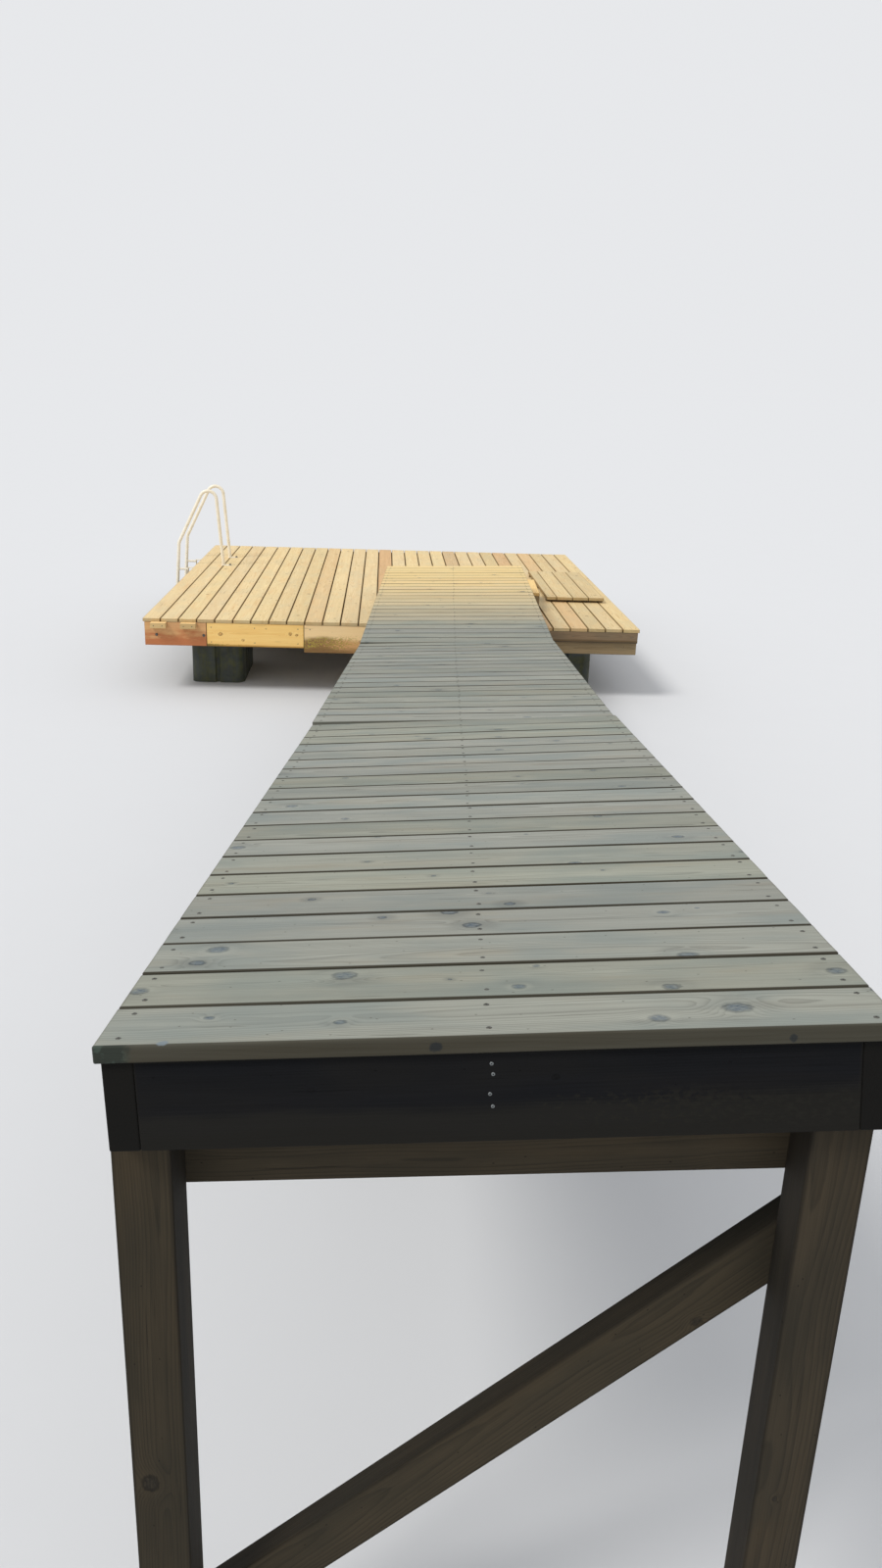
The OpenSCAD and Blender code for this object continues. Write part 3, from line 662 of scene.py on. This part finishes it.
def dress(shape, timber, seed, arris, cuts, warp, pith, tone, spots, ruddy_and_painted_sun, side_shade_and_dirt):
    """Adds a timber to the shape with eased edges, slight warps and its shading marks."""
    chance = Random(seed)
    mesh = timber.mesh.copy()
    bmesh.ops.bevel(
        mesh, geom=mesh.edges[:], offset=arris, segments=3, profile=0.5, affect="EDGES",
        clamp_overlap=True)
    slice_across(mesh, timber, timber.along, cuts[0], timber.half.x)
    slice_across(mesh, timber, timber.across, cuts[1], timber.half.y)
    mesh.verts.index_update()
    cup = chance.uniform(-1.0, 1.0) * warp
    bow = [chance.uniform(-0.5, 0.5) * warp for _ in range(3)]
    turn = [chance.uniform(0, 2 * pi) for _ in range(3)]
    shift = Vector((
        chance.uniform(0, 60), chance.uniform(-0.05, 0.05), chance.choice((-1, 1)) * pith))
    shift.z *= chance.uniform(0.5, 1.6)
    points = []
    marks = {name: [] for name in MARKS}
    spots = (list(spots) + [(0, 0, 0)] * 3)[:3]
    for vert in mesh.verts:
        at = timber.local(vert.co)
        reach = at.x / timber.half.x
        width = at.y / timber.half.y
        waves = [b * sin((i + 1.3) * reach * 1.9 + t) for i, (b, t) in enumerate(zip(bow, turn))]
        lift = cup * (width * width - 0.33) + sum(waves) * 0.5
        aside = bow[0] * 0.6 * sin(3.1 * reach + turn[1])
        points.append(vert.co + timber.up * lift + timber.across * aside)
        marks["grain"].append(at + shift)
        marks["place"].append(at)
        marks["half"].append(timber.half)
        for mark, spot in zip(KNOT_MARKS, spots):
            marks[mark].append(spot)
    faces = [[v.index for v in face.verts] for face in mesh.faces]
    mesh.free()
    shape.add(points, faces, marks, chance.random() if tone is None else tone, ruddy_and_painted_sun, side_shade_and_dirt)


def timbers(node, material, slot, seed, arris=TIMBER_ARRIS, cuts=(1, 1), warp=0.0, pith=0.045,
            tones=None, spots=None, ruddy_and_painted_sun=None, side_shade_by_board=None):
    """Dresses all the solids of a node as one piece, and returns them.

    cuts is the number of lengths along and across, so that a timber can warp.
    ruddy_and_painted_sun gives a board's blend to its second colours by its number and its place
    (ruddier boards on the platform, painted sunlight on the gangway), and side_shade_by_board how
    much painted shade some boards' sides get.
    """
    parts = solids(node)
    shape = Shape()
    for i, part in enumerate(parts):
        tone = tones[i] if tones else None
        knots = (spots or {}).get(i, ())
        ruddy_and_sunlit = ruddy_and_painted_sun(i, i / len(parts)) if ruddy_and_painted_sun else 0.0
        side_shade_and_dirt = (side_shade_by_board or {}).get(i, 1.0)
        dress(shape, part, seed * 100 + i, arris, cuts, warp, pith, tone, knots, ruddy_and_sunlit, side_shade_and_dirt)
    shape.piece(node + "_dressed", material, slot, [node], wood_marks=True)
    return parts


def ring_points(centre, right, forward, radius, count, turn=0.0):
    return [centre + right * radius * cos(turn + 2 * pi * i / count)
            + forward * radius * sin(turn + 2 * pi * i / count) for i in range(count)]


def closed_skin(rows, count):
    """The faces of a hose of rings, with a lid at each end."""
    faces = []
    for k in range(rows - 1):
        for i in range(count):
            j = (i + 1) % count
            faces.append([k * count + i, k * count + j, (k + 1) * count + j, (k + 1) * count + i])
    faces.append(list(range(count))[::-1])
    faces.append([(rows - 1) * count + i for i in range(count)])
    return faces


def lathe(shape, centre, up, profile, count, turn=0.0, star=()):
    """A turned form of radius and height; in the star rings every second point is drawn in."""
    right = up.orthogonal().normalized()
    forward = up.cross(right)
    points = []
    for k, (radius, height) in enumerate(profile):
        middle = centre + up * height
        ring = ring_points(middle, right, forward, radius, count, turn)
        if k in star:
            ring = [p if i % 2 else middle + (p - centre - up * height) * 0.6
                    for i, p in enumerate(ring)]
        points += ring
    shape.add(points, closed_skin(len(profile), count))


def screw_head(shape, place, up, chance, r=SCREW_RADIUS):
    """A countersunk head, a hair below or above the wood, with a star recess."""
    sink = chance.uniform(-0.0003, 0.0003)
    profile = [(r * 1.25, -0.001), (r * 1.2, 0.0002 + sink), (r, 0.0007 + sink),
               (r * 0.55, 0.0009 + sink), (r * 0.5, -0.0006)]
    lathe(shape, place, up, profile, 12, chance.uniform(0, pi), star=(3, 4))


def hex_bolt(shape, place, up, across=0.017, height=0.008, washer=0.0145):
    """A hexagon head with its chamfer, on a round washer."""
    disc = [(washer, -0.001), (washer, 0.0022), (washer - 0.0008, 0.003), (0.004, 0.003)]
    lathe(shape, place, up, disc, 20)
    outer = across / 2 / cos(pi / 6)
    head = [(outer, 0.0), (outer, height - 0.0012), (outer * 0.9, height), (outer * 0.5, height)]
    lathe(shape, place + up * 0.0028, up, head, 6)


def fasten(shape, boards, supports, seed, middle=0.0):
    """Two screws through each board where it crosses a support; the middle ones sit aside."""
    chance = Random(seed)
    for board in boards:
        for support in supports:
            place = board.local(support.centre)
            reach = abs(board.along.dot(support.along))
            if reach > 0.5 or abs(place.x) > board.half.x - SCREW_MARGIN:
                continue
            if abs(place.y) > support.half.x:
                continue
            for side in (-1, 1):
                x = place.x + chance.uniform(-0.004, 0.004)
                if abs(place.x) < 0.1:
                    x += middle
                y = min(SCREW_SPREAD, board.half.y - SCREW_MARGIN) * side
                y += chance.uniform(-0.005, 0.005)
                screw_head(shape, board.world(x, y, board.half.z), board.up, chance)


def rounded_path(points, radii, turn_step=radians(5)):
    """A flat path through the points, with a bend of the given radius at each inner one."""
    path = [points[0]]
    for before, at, after, radius in zip(points, points[1:], points[2:], radii):
        way_in = (at - before).normalized()
        way_out = (after - at).normalized()
        turn = atan2(way_in.x * way_out.y - way_in.y * way_out.x, way_in.dot(way_out))
        side = 1 if turn > 0 else -1
        start = at - way_in * radius * tan(abs(turn) / 2)
        centre = start + Vector((-way_in.y, way_in.x)) * side * radius
        count = ceil(abs(turn) / turn_step)
        for i in range(count + 1):
            angle = turn * i / count
            arm = start - centre
            path.append(centre + Vector((
                arm.x * cos(angle) - arm.y * sin(angle), arm.x * sin(angle) + arm.y * cos(angle))))
    return path + [points[-1]]


def tube(shape, path, normal, radius, sides=20):
    """A round tube along a path that lies in the plane with that normal, closed at both ends."""
    points = []
    for i, at in enumerate(path):
        way = (path[min(i + 1, len(path) - 1)] - path[max(i - 1, 0)]).normalized()
        aside = normal.cross(way).normalized()
        points += ring_points(at, aside, normal, radius, sides)
    shape.add(points, closed_skin(len(path), sides))


def weld(shape, centre, axis, radius, seed, bead=0.0032, count=40, sides=6):
    """A rippled bead round a tube."""
    chance = Random(seed)
    right = axis.orthogonal().normalized()
    forward = axis.cross(right)
    points = []
    for i in range(count):
        angle = 2 * pi * i / count
        out = right * cos(angle) + forward * sin(angle)
        size = bead * (1.0 + 0.22 * (i % 2) + chance.uniform(-0.1, 0.1))
        for j in range(sides):
            a = 2 * pi * j / sides
            points.append(centre + out * (radius + size * 0.8 * cos(a)) + axis * size * sin(a))
    faces = []
    for i in range(count):
        n = (i + 1) % count
        for j in range(sides):
            m = (j + 1) % sides
            faces.append([i * sides + j, n * sides + j, n * sides + m, i * sides + m])
    shape.add(points, faces)


def keep(node, material, bevel):
    """A node of the frame that stays, with its material and softened edges."""
    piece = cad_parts[node]
    piece.data.materials.clear()
    piece.data.materials.append(material)
    soft = piece.modifiers.new("soft_edges", "BEVEL")
    soft.width = bevel
    soft.segments = 2
    soft.limit_method = "ANGLE"
    soft.angle_limit = radians(40)


# Camera

def place_camera(shore_edge):
    forward = Vector((
        -sin(CAMERA_YAW) * cos(CAMERA_PITCH), cos(CAMERA_YAW) * cos(CAMERA_PITCH),
        -sin(CAMERA_PITCH)))
    level = Vector((cos(CAMERA_YAW), sin(CAMERA_YAW), 0))
    down = forward.cross(level)
    right = level * cos(CAMERA_ROLL) + down * sin(CAMERA_ROLL)
    down = down * cos(CAMERA_ROLL) - level * sin(CAMERA_ROLL)
    data = bpy.data.cameras.new("camera")
    data.sensor_width = SENSOR_WIDTH
    data.sensor_fit = "AUTO"
    data.lens = SENSOR_WIDTH * FOCAL_PIXELS / IMAGE_HEIGHT
    data.clip_end = 500
    camera = bpy.data.objects.new("camera", data)
    turn = Matrix((right, -down, -forward)).transposed().to_4x4()
    camera.matrix_world = Matrix.Translation(shore_edge + CAMERA_PLACE) @ turn
    bpy.context.collection.objects.link(camera)
    bpy.context.scene.camera = camera


def studio():
    """A pale floor that runs on into the pale surround, and one broad soft light from the left."""
    shader = Shader("floor_paper", roughness=0.9, specular_ior_level=0.0)
    grain = shader.noise(shader.spot(), 2.0, 3.0)
    shader.set("Base Color", shader.mix(grain, *FLOOR_PAPER))
    mesh = bpy.data.meshes.new("floor")
    corners = [(x * FLOOR_REACH, y * FLOOR_REACH, 0)
               for x, y in ((-1, -1), (1, -1), (1, 1), (-1, 1))]
    mesh.from_pydata(corners, [], [(0, 1, 2, 3)])
    mesh.materials.append(shader.material)
    floor = bpy.data.objects.new("floor", mesh)
    floor.location.z = -0.0005
    bpy.context.collection.objects.link(floor)
    world = bpy.data.worlds.new("surround")
    world.use_nodes = True
    world.node_tree.nodes["Background"].inputs[0].default_value = SURROUND
    bpy.context.scene.world = world
    data = bpy.data.lights.new("key", "SUN")
    data.energy = KEY_LIGHT_ENERGY
    data.angle = KEY_LIGHT_SPREAD
    data.color = KEY_LIGHT_COLOUR
    key = bpy.data.objects.new("key", data)
    key.matrix_world = KEY_LIGHT_FROM.to_track_quat("Z", "Y").to_matrix().to_4x4()
    bpy.context.collection.objects.link(key)


bpy.context.scene.view_settings.view_transform = "Standard"
studio()

# Gangway
# The grey-green colours lean to this wood's look in shade, and the warm second set is the same
# wood in sun: painted shade and painted sunlight, blended board by board across the outer bay
gangway_pine = wood(
    "gangway_pine", "9d9f94", "6c6c63", "4a5b68", contrast=0.5, weather=0.55,
    weather_colour="78827e", warm=0.35, warm_colour="8f8672", rim_colour="363f42",
    edge_colour="4a4635", stripe=0.6, fade=0.15, smoke=0.35, side=1.0, side_colour="2f2a1c",
    seam=(0.006, 0.0028), lip=0.93, ruddy_and_sunlit_colours=("f2d79c", "c9ac72", "dcc896", "deb67c"),
    front_marks=True)
dark_stain = dict(
    knots=0.3, weather=0.5, weather_colour="2b2922", warm_colour="4a3d2a",
    rim_colour="191612", crack="14110d", gloss=0.15, roughness=0.8, side=0.0)
# The framing's sawn ends go near-black: painted shade over darker end grain
framing = wood(
    "dark_framing", "433b2e", "2c2820", "211e19", edge_colour="0b0b0a", sawn=(0.96, 0.012),
    **dark_stain)
standing_timber = wood(
    "standing_timber", "453d30", "2d2921", "211e19", edge_colour="1a1814",
    sawn=(0.9, 0.012), waterline=("23241a", "6d6a4e"), **dark_stain)
# The header is near-black: dark wood darkened further as painted shade. A slightly lighter band
# runs along its lower edge
header_wood = wood(
    "header_dark_and_painted_shade", "131417", "0a0b0c", "070708", contrast=0.3, knots=0.2, weather=0.5,
    weather_colour="1a1917", warm=0.2, warm_colour="1d1915", rim_colour="070707",
    edge_colour="211f19", crack="070708", gloss=0.12, roughness=0.9, side=0.0,
    lower_band=(0.07, "1f1e1b", "201f1b", "1c1b18"))


def painted_sunlight_ramp(number, along):
    """The outer bay's boards turn to the warm sunlit colours towards the lake, some sooner than
    others: painted sunlight.
    """
    uneven = Random(2500 + number).uniform(-0.08, 0.08)
    return min(max((along - 0.1) / 0.62 + uneven, 0.0), 1.0)


bay_screws = Shape()
for seed, name in enumerate(("shore_bay", "middle_bay", "outer_bay")):
    # The first board's front face gets most of the sides' painted shade in the shore bay, and
    # little at the kinks
    boards = timbers(
        name + "_boards_row", gangway_pine, "gangway_boards", 3 + seed, BOARD_ARRIS, (8, 3),
        0.0011, spots=NEAR_KNOTS if seed == 0 else None, ruddy_and_painted_sun=painted_sunlight_ramp if seed == 2 else None,
        side_shade_by_board={0: 0.2 if seed else 0.88})
    stringers = timbers(name + "_stringers", framing, "dark_timber", 13 + seed, cuts=(6, 1))
    timbers(name + "_crosspieces", framing, "dark_timber", 23 + seed)
    fasten(bay_screws, boards, stringers, 33 + seed, middle=MIDDLE_ROW_ASIDE)
    if seed == 0:
        first_board = boards[0]
steel = zinc("screw_steel", "6b6a63", 0.85)
bay_screws.piece("gangway_screws", steel, "dark_timber")
place_camera(first_board.world(0, -first_board.half.y, first_board.half.z))

header = timbers("shore_header", header_wood, "header", 41, cuts=(6, 1))[0]
header_screws = Shape()
chance = Random(5)
outward = -header.up if header.up.y > 0 else header.up
for drop in HEADER_SCREW_DROPS:
    place = header.centre + outward * header.half.z + header.across * (header.half.y - drop)
    aside = header.along * (chance.uniform(-0.003, 0.003) + HEADER_SCREW_ASIDE)
    screw_head(header_screws, place + aside, outward, chance, HEADER_SCREW_RADIUS)
header_screws.piece("header_screws", zinc("worn_zinc", "85898a", 0.3), "header")

# Trestles
bolts = Shape()
galvanised = zinc("galvanised", "9a9d9b", 0.3)
for seed, trestle in enumerate(("shore", "first_trestle", "second_trestle")):
    cap_node = "shore_cap" if seed == 0 else trestle + "_caps"
    leg_wood = standing_timber if seed else framing
    posts = timbers(trestle + "_posts", leg_wood, "dark_timber", 51 + seed, cuts=(5, 1))
    caps = timbers(cap_node, framing, "dark_timber", 61 + seed, cuts=(4, 1))
    brace = timbers(trestle + "_brace", leg_wood, "dark_timber", 71 + seed, cuts=(5, 1))[0]
    for cap in caps:
        outer = cap.up if cap.up.dot(cap.centre - posts[0].centre) > 0 else -cap.up
        for post in posts:
            x = cap.local(post.centre).x
            for y in (-CAP_BOLT_RISE, CAP_BOLT_RISE):
                hex_bolt(bolts, cap.world(x, y, 0) + outer * cap.half.z, outer)
    outer = brace.up if brace.up.y < 0 else -brace.up
    for end in (-1, 1):
        place = brace.world(end * (brace.half.x - BRACE_BOLT_INSET), 0, 0)
        hex_bolt(bolts, place + outer * brace.half.z, outer)
bolts.piece("trestle_bolts", galvanised, "dark_timber")

# Platform
platform_pine = wood(
    "platform_pine", "ead3a2", "c8a974", "9c8055", knots=0.5, weather=0.4,
    weather_colour="cdbf98", warm=0.35, warm_colour="d9ae76", rim_colour="735a38",
    edge_colour="967b4e", stripe=0.6, fade=0.18, smoke=0.12, side=0.62,
    side_colour="8a6a36", ruddy_and_sunlit_colours=("dcb384", "b98b5c", "c8a47a", "c08a58"))
old_wood = wood(
    "old_frame_wood", "a08a66", "7d6848", "574632", weather=0.5, weather_colour="7c735c",
    warm_colour="927650", rim_colour="43361f", edge_colour="564a34", side=0.0)
block_wood = wood(
    "block_pine", "ffdfa0", "e8ba78", "9c8055", knots=0.2, weather=0.2,
    weather_colour="ecc890", warm_colour="f0b878", rim_colour="735a38",
    edge_colour="8a7148", side=0.0)
red_wood = wood(
    "old_red", "deb07a", "bc8a58", "7b5038", knots=0.3, weather=0.25,
    weather_colour="b98f6e", warm_colour="cf9466", rim_colour="5a3626",
    edge_colour="7a5038", stripe=0.4, side=0.0, stain=("b4683f", 0.15))
yellow = dict(
    knots=0.95, weather=0.15, weather_colour="f6d88c", warm_colour="f0ad52",
    rim_colour="7c5428", edge_colour="a67c3e", stripe=0.5)
yellow_wood = wood(
    "new_yellow_pine", "ffd98a", "f0b95c", "a8743a", side=0.0,
    lower_band=(0.02, "b98a3e", "a08a3c", "7d6234"), **yellow)
step_pine = wood(
    "step_pine", "f4d294", "dcb06c", "a8743a", side=0.9, side_colour="5b4423", **yellow)
mossy_wood = wood(
    "mossy_fascia", "ffe0a6", "f2c58a", "8b6b48", weather=0.3, weather_colour="f4d8a6",
    warm_colour="fbd096", rim_colour="5b4630", edge_colour="7a6440", stripe=0.5, side=0.0,
    lower_band=(0.125, "cc955a", "b4a645", "83603a"))
brown_wood = wood(
    "brown_strip", "8b7458", "6a553e", "463626", weather=0.4, weather_colour="6d6450",
    warm_colour="7d6342", rim_colour="33281a", side=0.0,
    lower_band=(0.03, "5e4a2e", "66602c", "40382a"))

# The right-hand boards, from the nineteenth on, get lower tones and so darker colours: painted
# shade
tone_chance = Random(17)
board_tones = [
    tone_chance.uniform(0.55, 1.0) if i < 18 else tone_chance.uniform(0.2, 0.75)
    for i in range(28)]
deck = timbers(
    "platform_boards", platform_pine, "platform_boards", 81, BOARD_ARRIS, (16, 3), 0.0013,
    tones=board_tones, ruddy_and_painted_sun=lambda number, along: RUDDY_BOARDS.get(number, 0.0))
joists = timbers("platform_joists", old_wood, "old_timber", 82, cuts=(10, 1))
rims = []
for seed, node in enumerate(("left_rim", "right_rim", "back_rim", "front_beam")):
    rims += timbers(node, old_wood, "old_timber", 83 + seed, cuts=(10, 1))
blocks = timbers("packing_blocks", block_wood, "platform_boards", 88)
timbers("old_red_beam", red_wood, "red_timber", 89, cuts=(3, 1))
timbers("new_fascia", yellow_wood, "yellow_timber", 90, cuts=(4, 1), pith=0.03,
        spots={0: FASCIA_KNOTS})
timbers("weathered_fascia", mossy_wood, "weathered_timber", 91, cuts=(5, 1))
timbers("brown_fascia", brown_wood, "weathered_timber", 92, cuts=(6, 1))

# Landing step and raised panel
step_boards = timbers(
    "landing_step_boards", step_pine, "platform_boards", 93, BOARD_ARRIS, (8, 3), 0.001)
bearers = timbers("landing_step_bearers", old_wood, "old_timber", 94)
timbers("landing_wedges", old_wood, "old_timber", 95, WEDGE_ARRIS)
panel = timbers(
    "side_panel_boards", platform_pine, "platform_boards", 96, BOARD_ARRIS, (8, 3), 0.001)
battens = timbers("side_panel_battens", old_wood, "old_timber", 97)
deck_screws = Shape()
fasten(deck_screws, deck, joists + rims + blocks, 98)
fasten(deck_screws, step_boards, bearers, 99)
fasten(deck_screws, panel, battens, 100)
deck_screws.piece("platform_screws", steel, "platform_boards")

# Platform frame: its near left corner at deck level, to the right, and to the lake
left_board = min(deck, key=lambda board: board.centre.x)
forward = left_board.along if left_board.along.y > 0 else -left_board.along
right = forward.cross(UP)
corner = left_board.centre - right * left_board.half.y - forward * left_board.half.x
corner.z = left_board.centre.z + left_board.half.z


def on_platform(x, y, z):
    return corner + right * x + forward * y + Vector((0, 0, z))


front_fixings = Shape()
for x, z in RED_BEAM_BOLTS:
    hex_bolt(front_fixings, on_platform(x, FRONT_FACE, z), -forward, 0.013, 0.006, 0.012)
nail_chance = Random(23)
nails = []
for block in blocks:
    across = (block.centre - corner).dot(right)
    nails += [(across + x, *BLOCK_NAIL_YZ) for x in (-BLOCK_NAIL_SPREAD, BLOCK_NAIL_SPREAD)]
nails += [(x, FRONT_FACE, z) for x in FASCIA_NAILS_X for z in FASCIA_NAILS_Z]
nails += [(x, FRONT_FACE, STRIP_NAILS_Z) for x in STRIP_NAILS_X]
for nail in nails:
    screw_head(front_fixings, on_platform(*nail), -forward, nail_chance)
front_fixings.piece("front_fixings", steel, "old_timber")

# Ladder
paint = cream_paint("cream_paint")
foot = Vector((RAIL_FOOT, 0))
knee = Vector(RAIL_KNEE)
peak_z = ((foot.x - knee.x + knee.y / tan(RAIL_SLANT))
          / (1 / tan(RAIL_SLANT) + tan(RAIL_FOOT_LEAN)))
peak = Vector((foot.x - peak_z * tan(RAIL_FOOT_LEAN), peak_z))
half_turn = (pi / 2 + RAIL_FOOT_LEAN - RAIL_SLANT) / 2
crown = peak_z - (RAIL_TOP_BEND / sin(half_turn)
                  * sin((pi / 2 + RAIL_FOOT_LEAN + RAIL_SLANT) / 2))
lift = Vector((0, RAIL_TOP - (crown + RAIL_TOP_BEND + TUBE_RADIUS)))
leg_z = RAIL_CLEAR - corner.z
leg_foot = Vector((knee.x - (knee.y + lift.y - leg_z) * tan(RAIL_LEG_LEAN), leg_z))
rail_path = rounded_path(
    [leg_foot, knee + lift, peak + lift, foot + Vector((0, FLANGE_HEIGHT * 0.5))],
    (RAIL_KNEE_BEND, RAIL_TOP_BEND))
plug_profile = [
    (0.008, -0.004), (TUBE_RADIUS + 0.001, -0.0035), (TUBE_RADIUS + 0.0022, 0.0),
    (TUBE_RADIUS + 0.002, 0.022), (TUBE_RADIUS, 0.0235)]


def leg_x(z):
    """How far to the right the leg's middle line lies at a height."""
    return leg_foot.x + (z - leg_foot.y) * tan(RAIL_LEG_LEAN)


welds = Shape()
plugs = Shape()
ladder_bolts = Shape()
foot_bolts = Shape()
rails = {"near_rail": RAIL_FORWARD, "far_rail": RAIL_FORWARD + RAIL_SPACING}
for seed, (node, y) in enumerate(rails.items()):
    rail = Shape()
    tube(rail, [on_platform(p.x, y, p.y) for p in rail_path], forward, TUBE_RADIUS)
    rail.piece(node + "_tube", paint, "ladder_paint", [node])
    leg_end = on_platform(leg_foot.x, y, leg_foot.y)
    leg_way = (on_platform(knee.x, y, knee.y + lift.y) - leg_end).normalized()
    lathe(plugs, leg_end, leg_way, plug_profile, 20)
    foot_place = on_platform(RAIL_FOOT, y, FLANGE_HEIGHT)
    weld(welds, foot_place, UP, TUBE_RADIUS, 200 + seed)
    hex_bolt(foot_bolts, foot_place + right * FLANGE_BOLT, UP, 0.017, 0.011)
    at_leg = on_platform(leg_x(-ARM_DROP) + TUBE_RADIUS, y, -ARM_DROP)
    at_bracket = on_platform(-BRACKET_REACH - 0.0005, y, -ARM_DROP)
    weld(welds, at_leg, right, ARM_RADIUS, 210 + seed, 0.0026)
    weld(welds, at_bracket, right, ARM_RADIUS, 220 + seed, 0.0026)
    x, spread, z = BRACKET_BOLT
    for side in (-1, 1):
        place = on_platform(x, y + side * spread, z)
        hex_bolt(ladder_bolts, place, -right, 0.01, 0.005, 0.0085)
keep("rail_flanges", paint, 0.001)
keep("standoff_arms", paint, 0.001)
keep("ladder_treads", paint, 0.0012)
welds.piece("ladder_welds", paint, "ladder_paint")
plugs.piece("leg_plugs", black_rubber("plug_rubber"), "ladder_paint")
ladder_bolts.piece("ladder_bolts", galvanised, "ladder_paint")
foot_bolts.piece("ladder_foot_bolts", steel, "ladder_paint")

# Grip ribs on the treads
grips = Shape()
for drop in TREAD_DROPS:
    for i in range(-3, 4):
        inset = MIDDLE_GRIP_INSET if abs(i) < 2 else GRIP_INSET
        start, end = inset, RAIL_SPACING - inset
        path = [
            on_platform(leg_x(-drop) + i * GRIP_PITCH,
                        RAIL_FORWARD + start + (end - start) * k / 8, -drop)
            for k in range(9)]
        tube(grips, path, UP, GRIP_RADIUS, 8)
grips.piece("tread_grips", paint, "ladder_paint")

# Floats
plastic = float_plastic("float_plastic")
float_plugs = Shape()
for node in ("left_floats", "right_floats"):
    keep(node, plastic, 0.006)
    for block in solids(node):
        points = [vert.co for vert in block.mesh.verts]
        low = Vector([min(p[i] for p in points) for i in range(3)])
        high = Vector([max(p[i] for p in points) for i in range(3)])
        place = (low + high) / 2 + forward * PLUG_FORWARD + right * PLUG_ASIDE
        place.z = low.z + PLUG_RISE
        lathe(float_plugs, place, forward, PLUG_PROFILE, 24)
float_plugs.piece("float_plugs", plastic, "float_plastic")
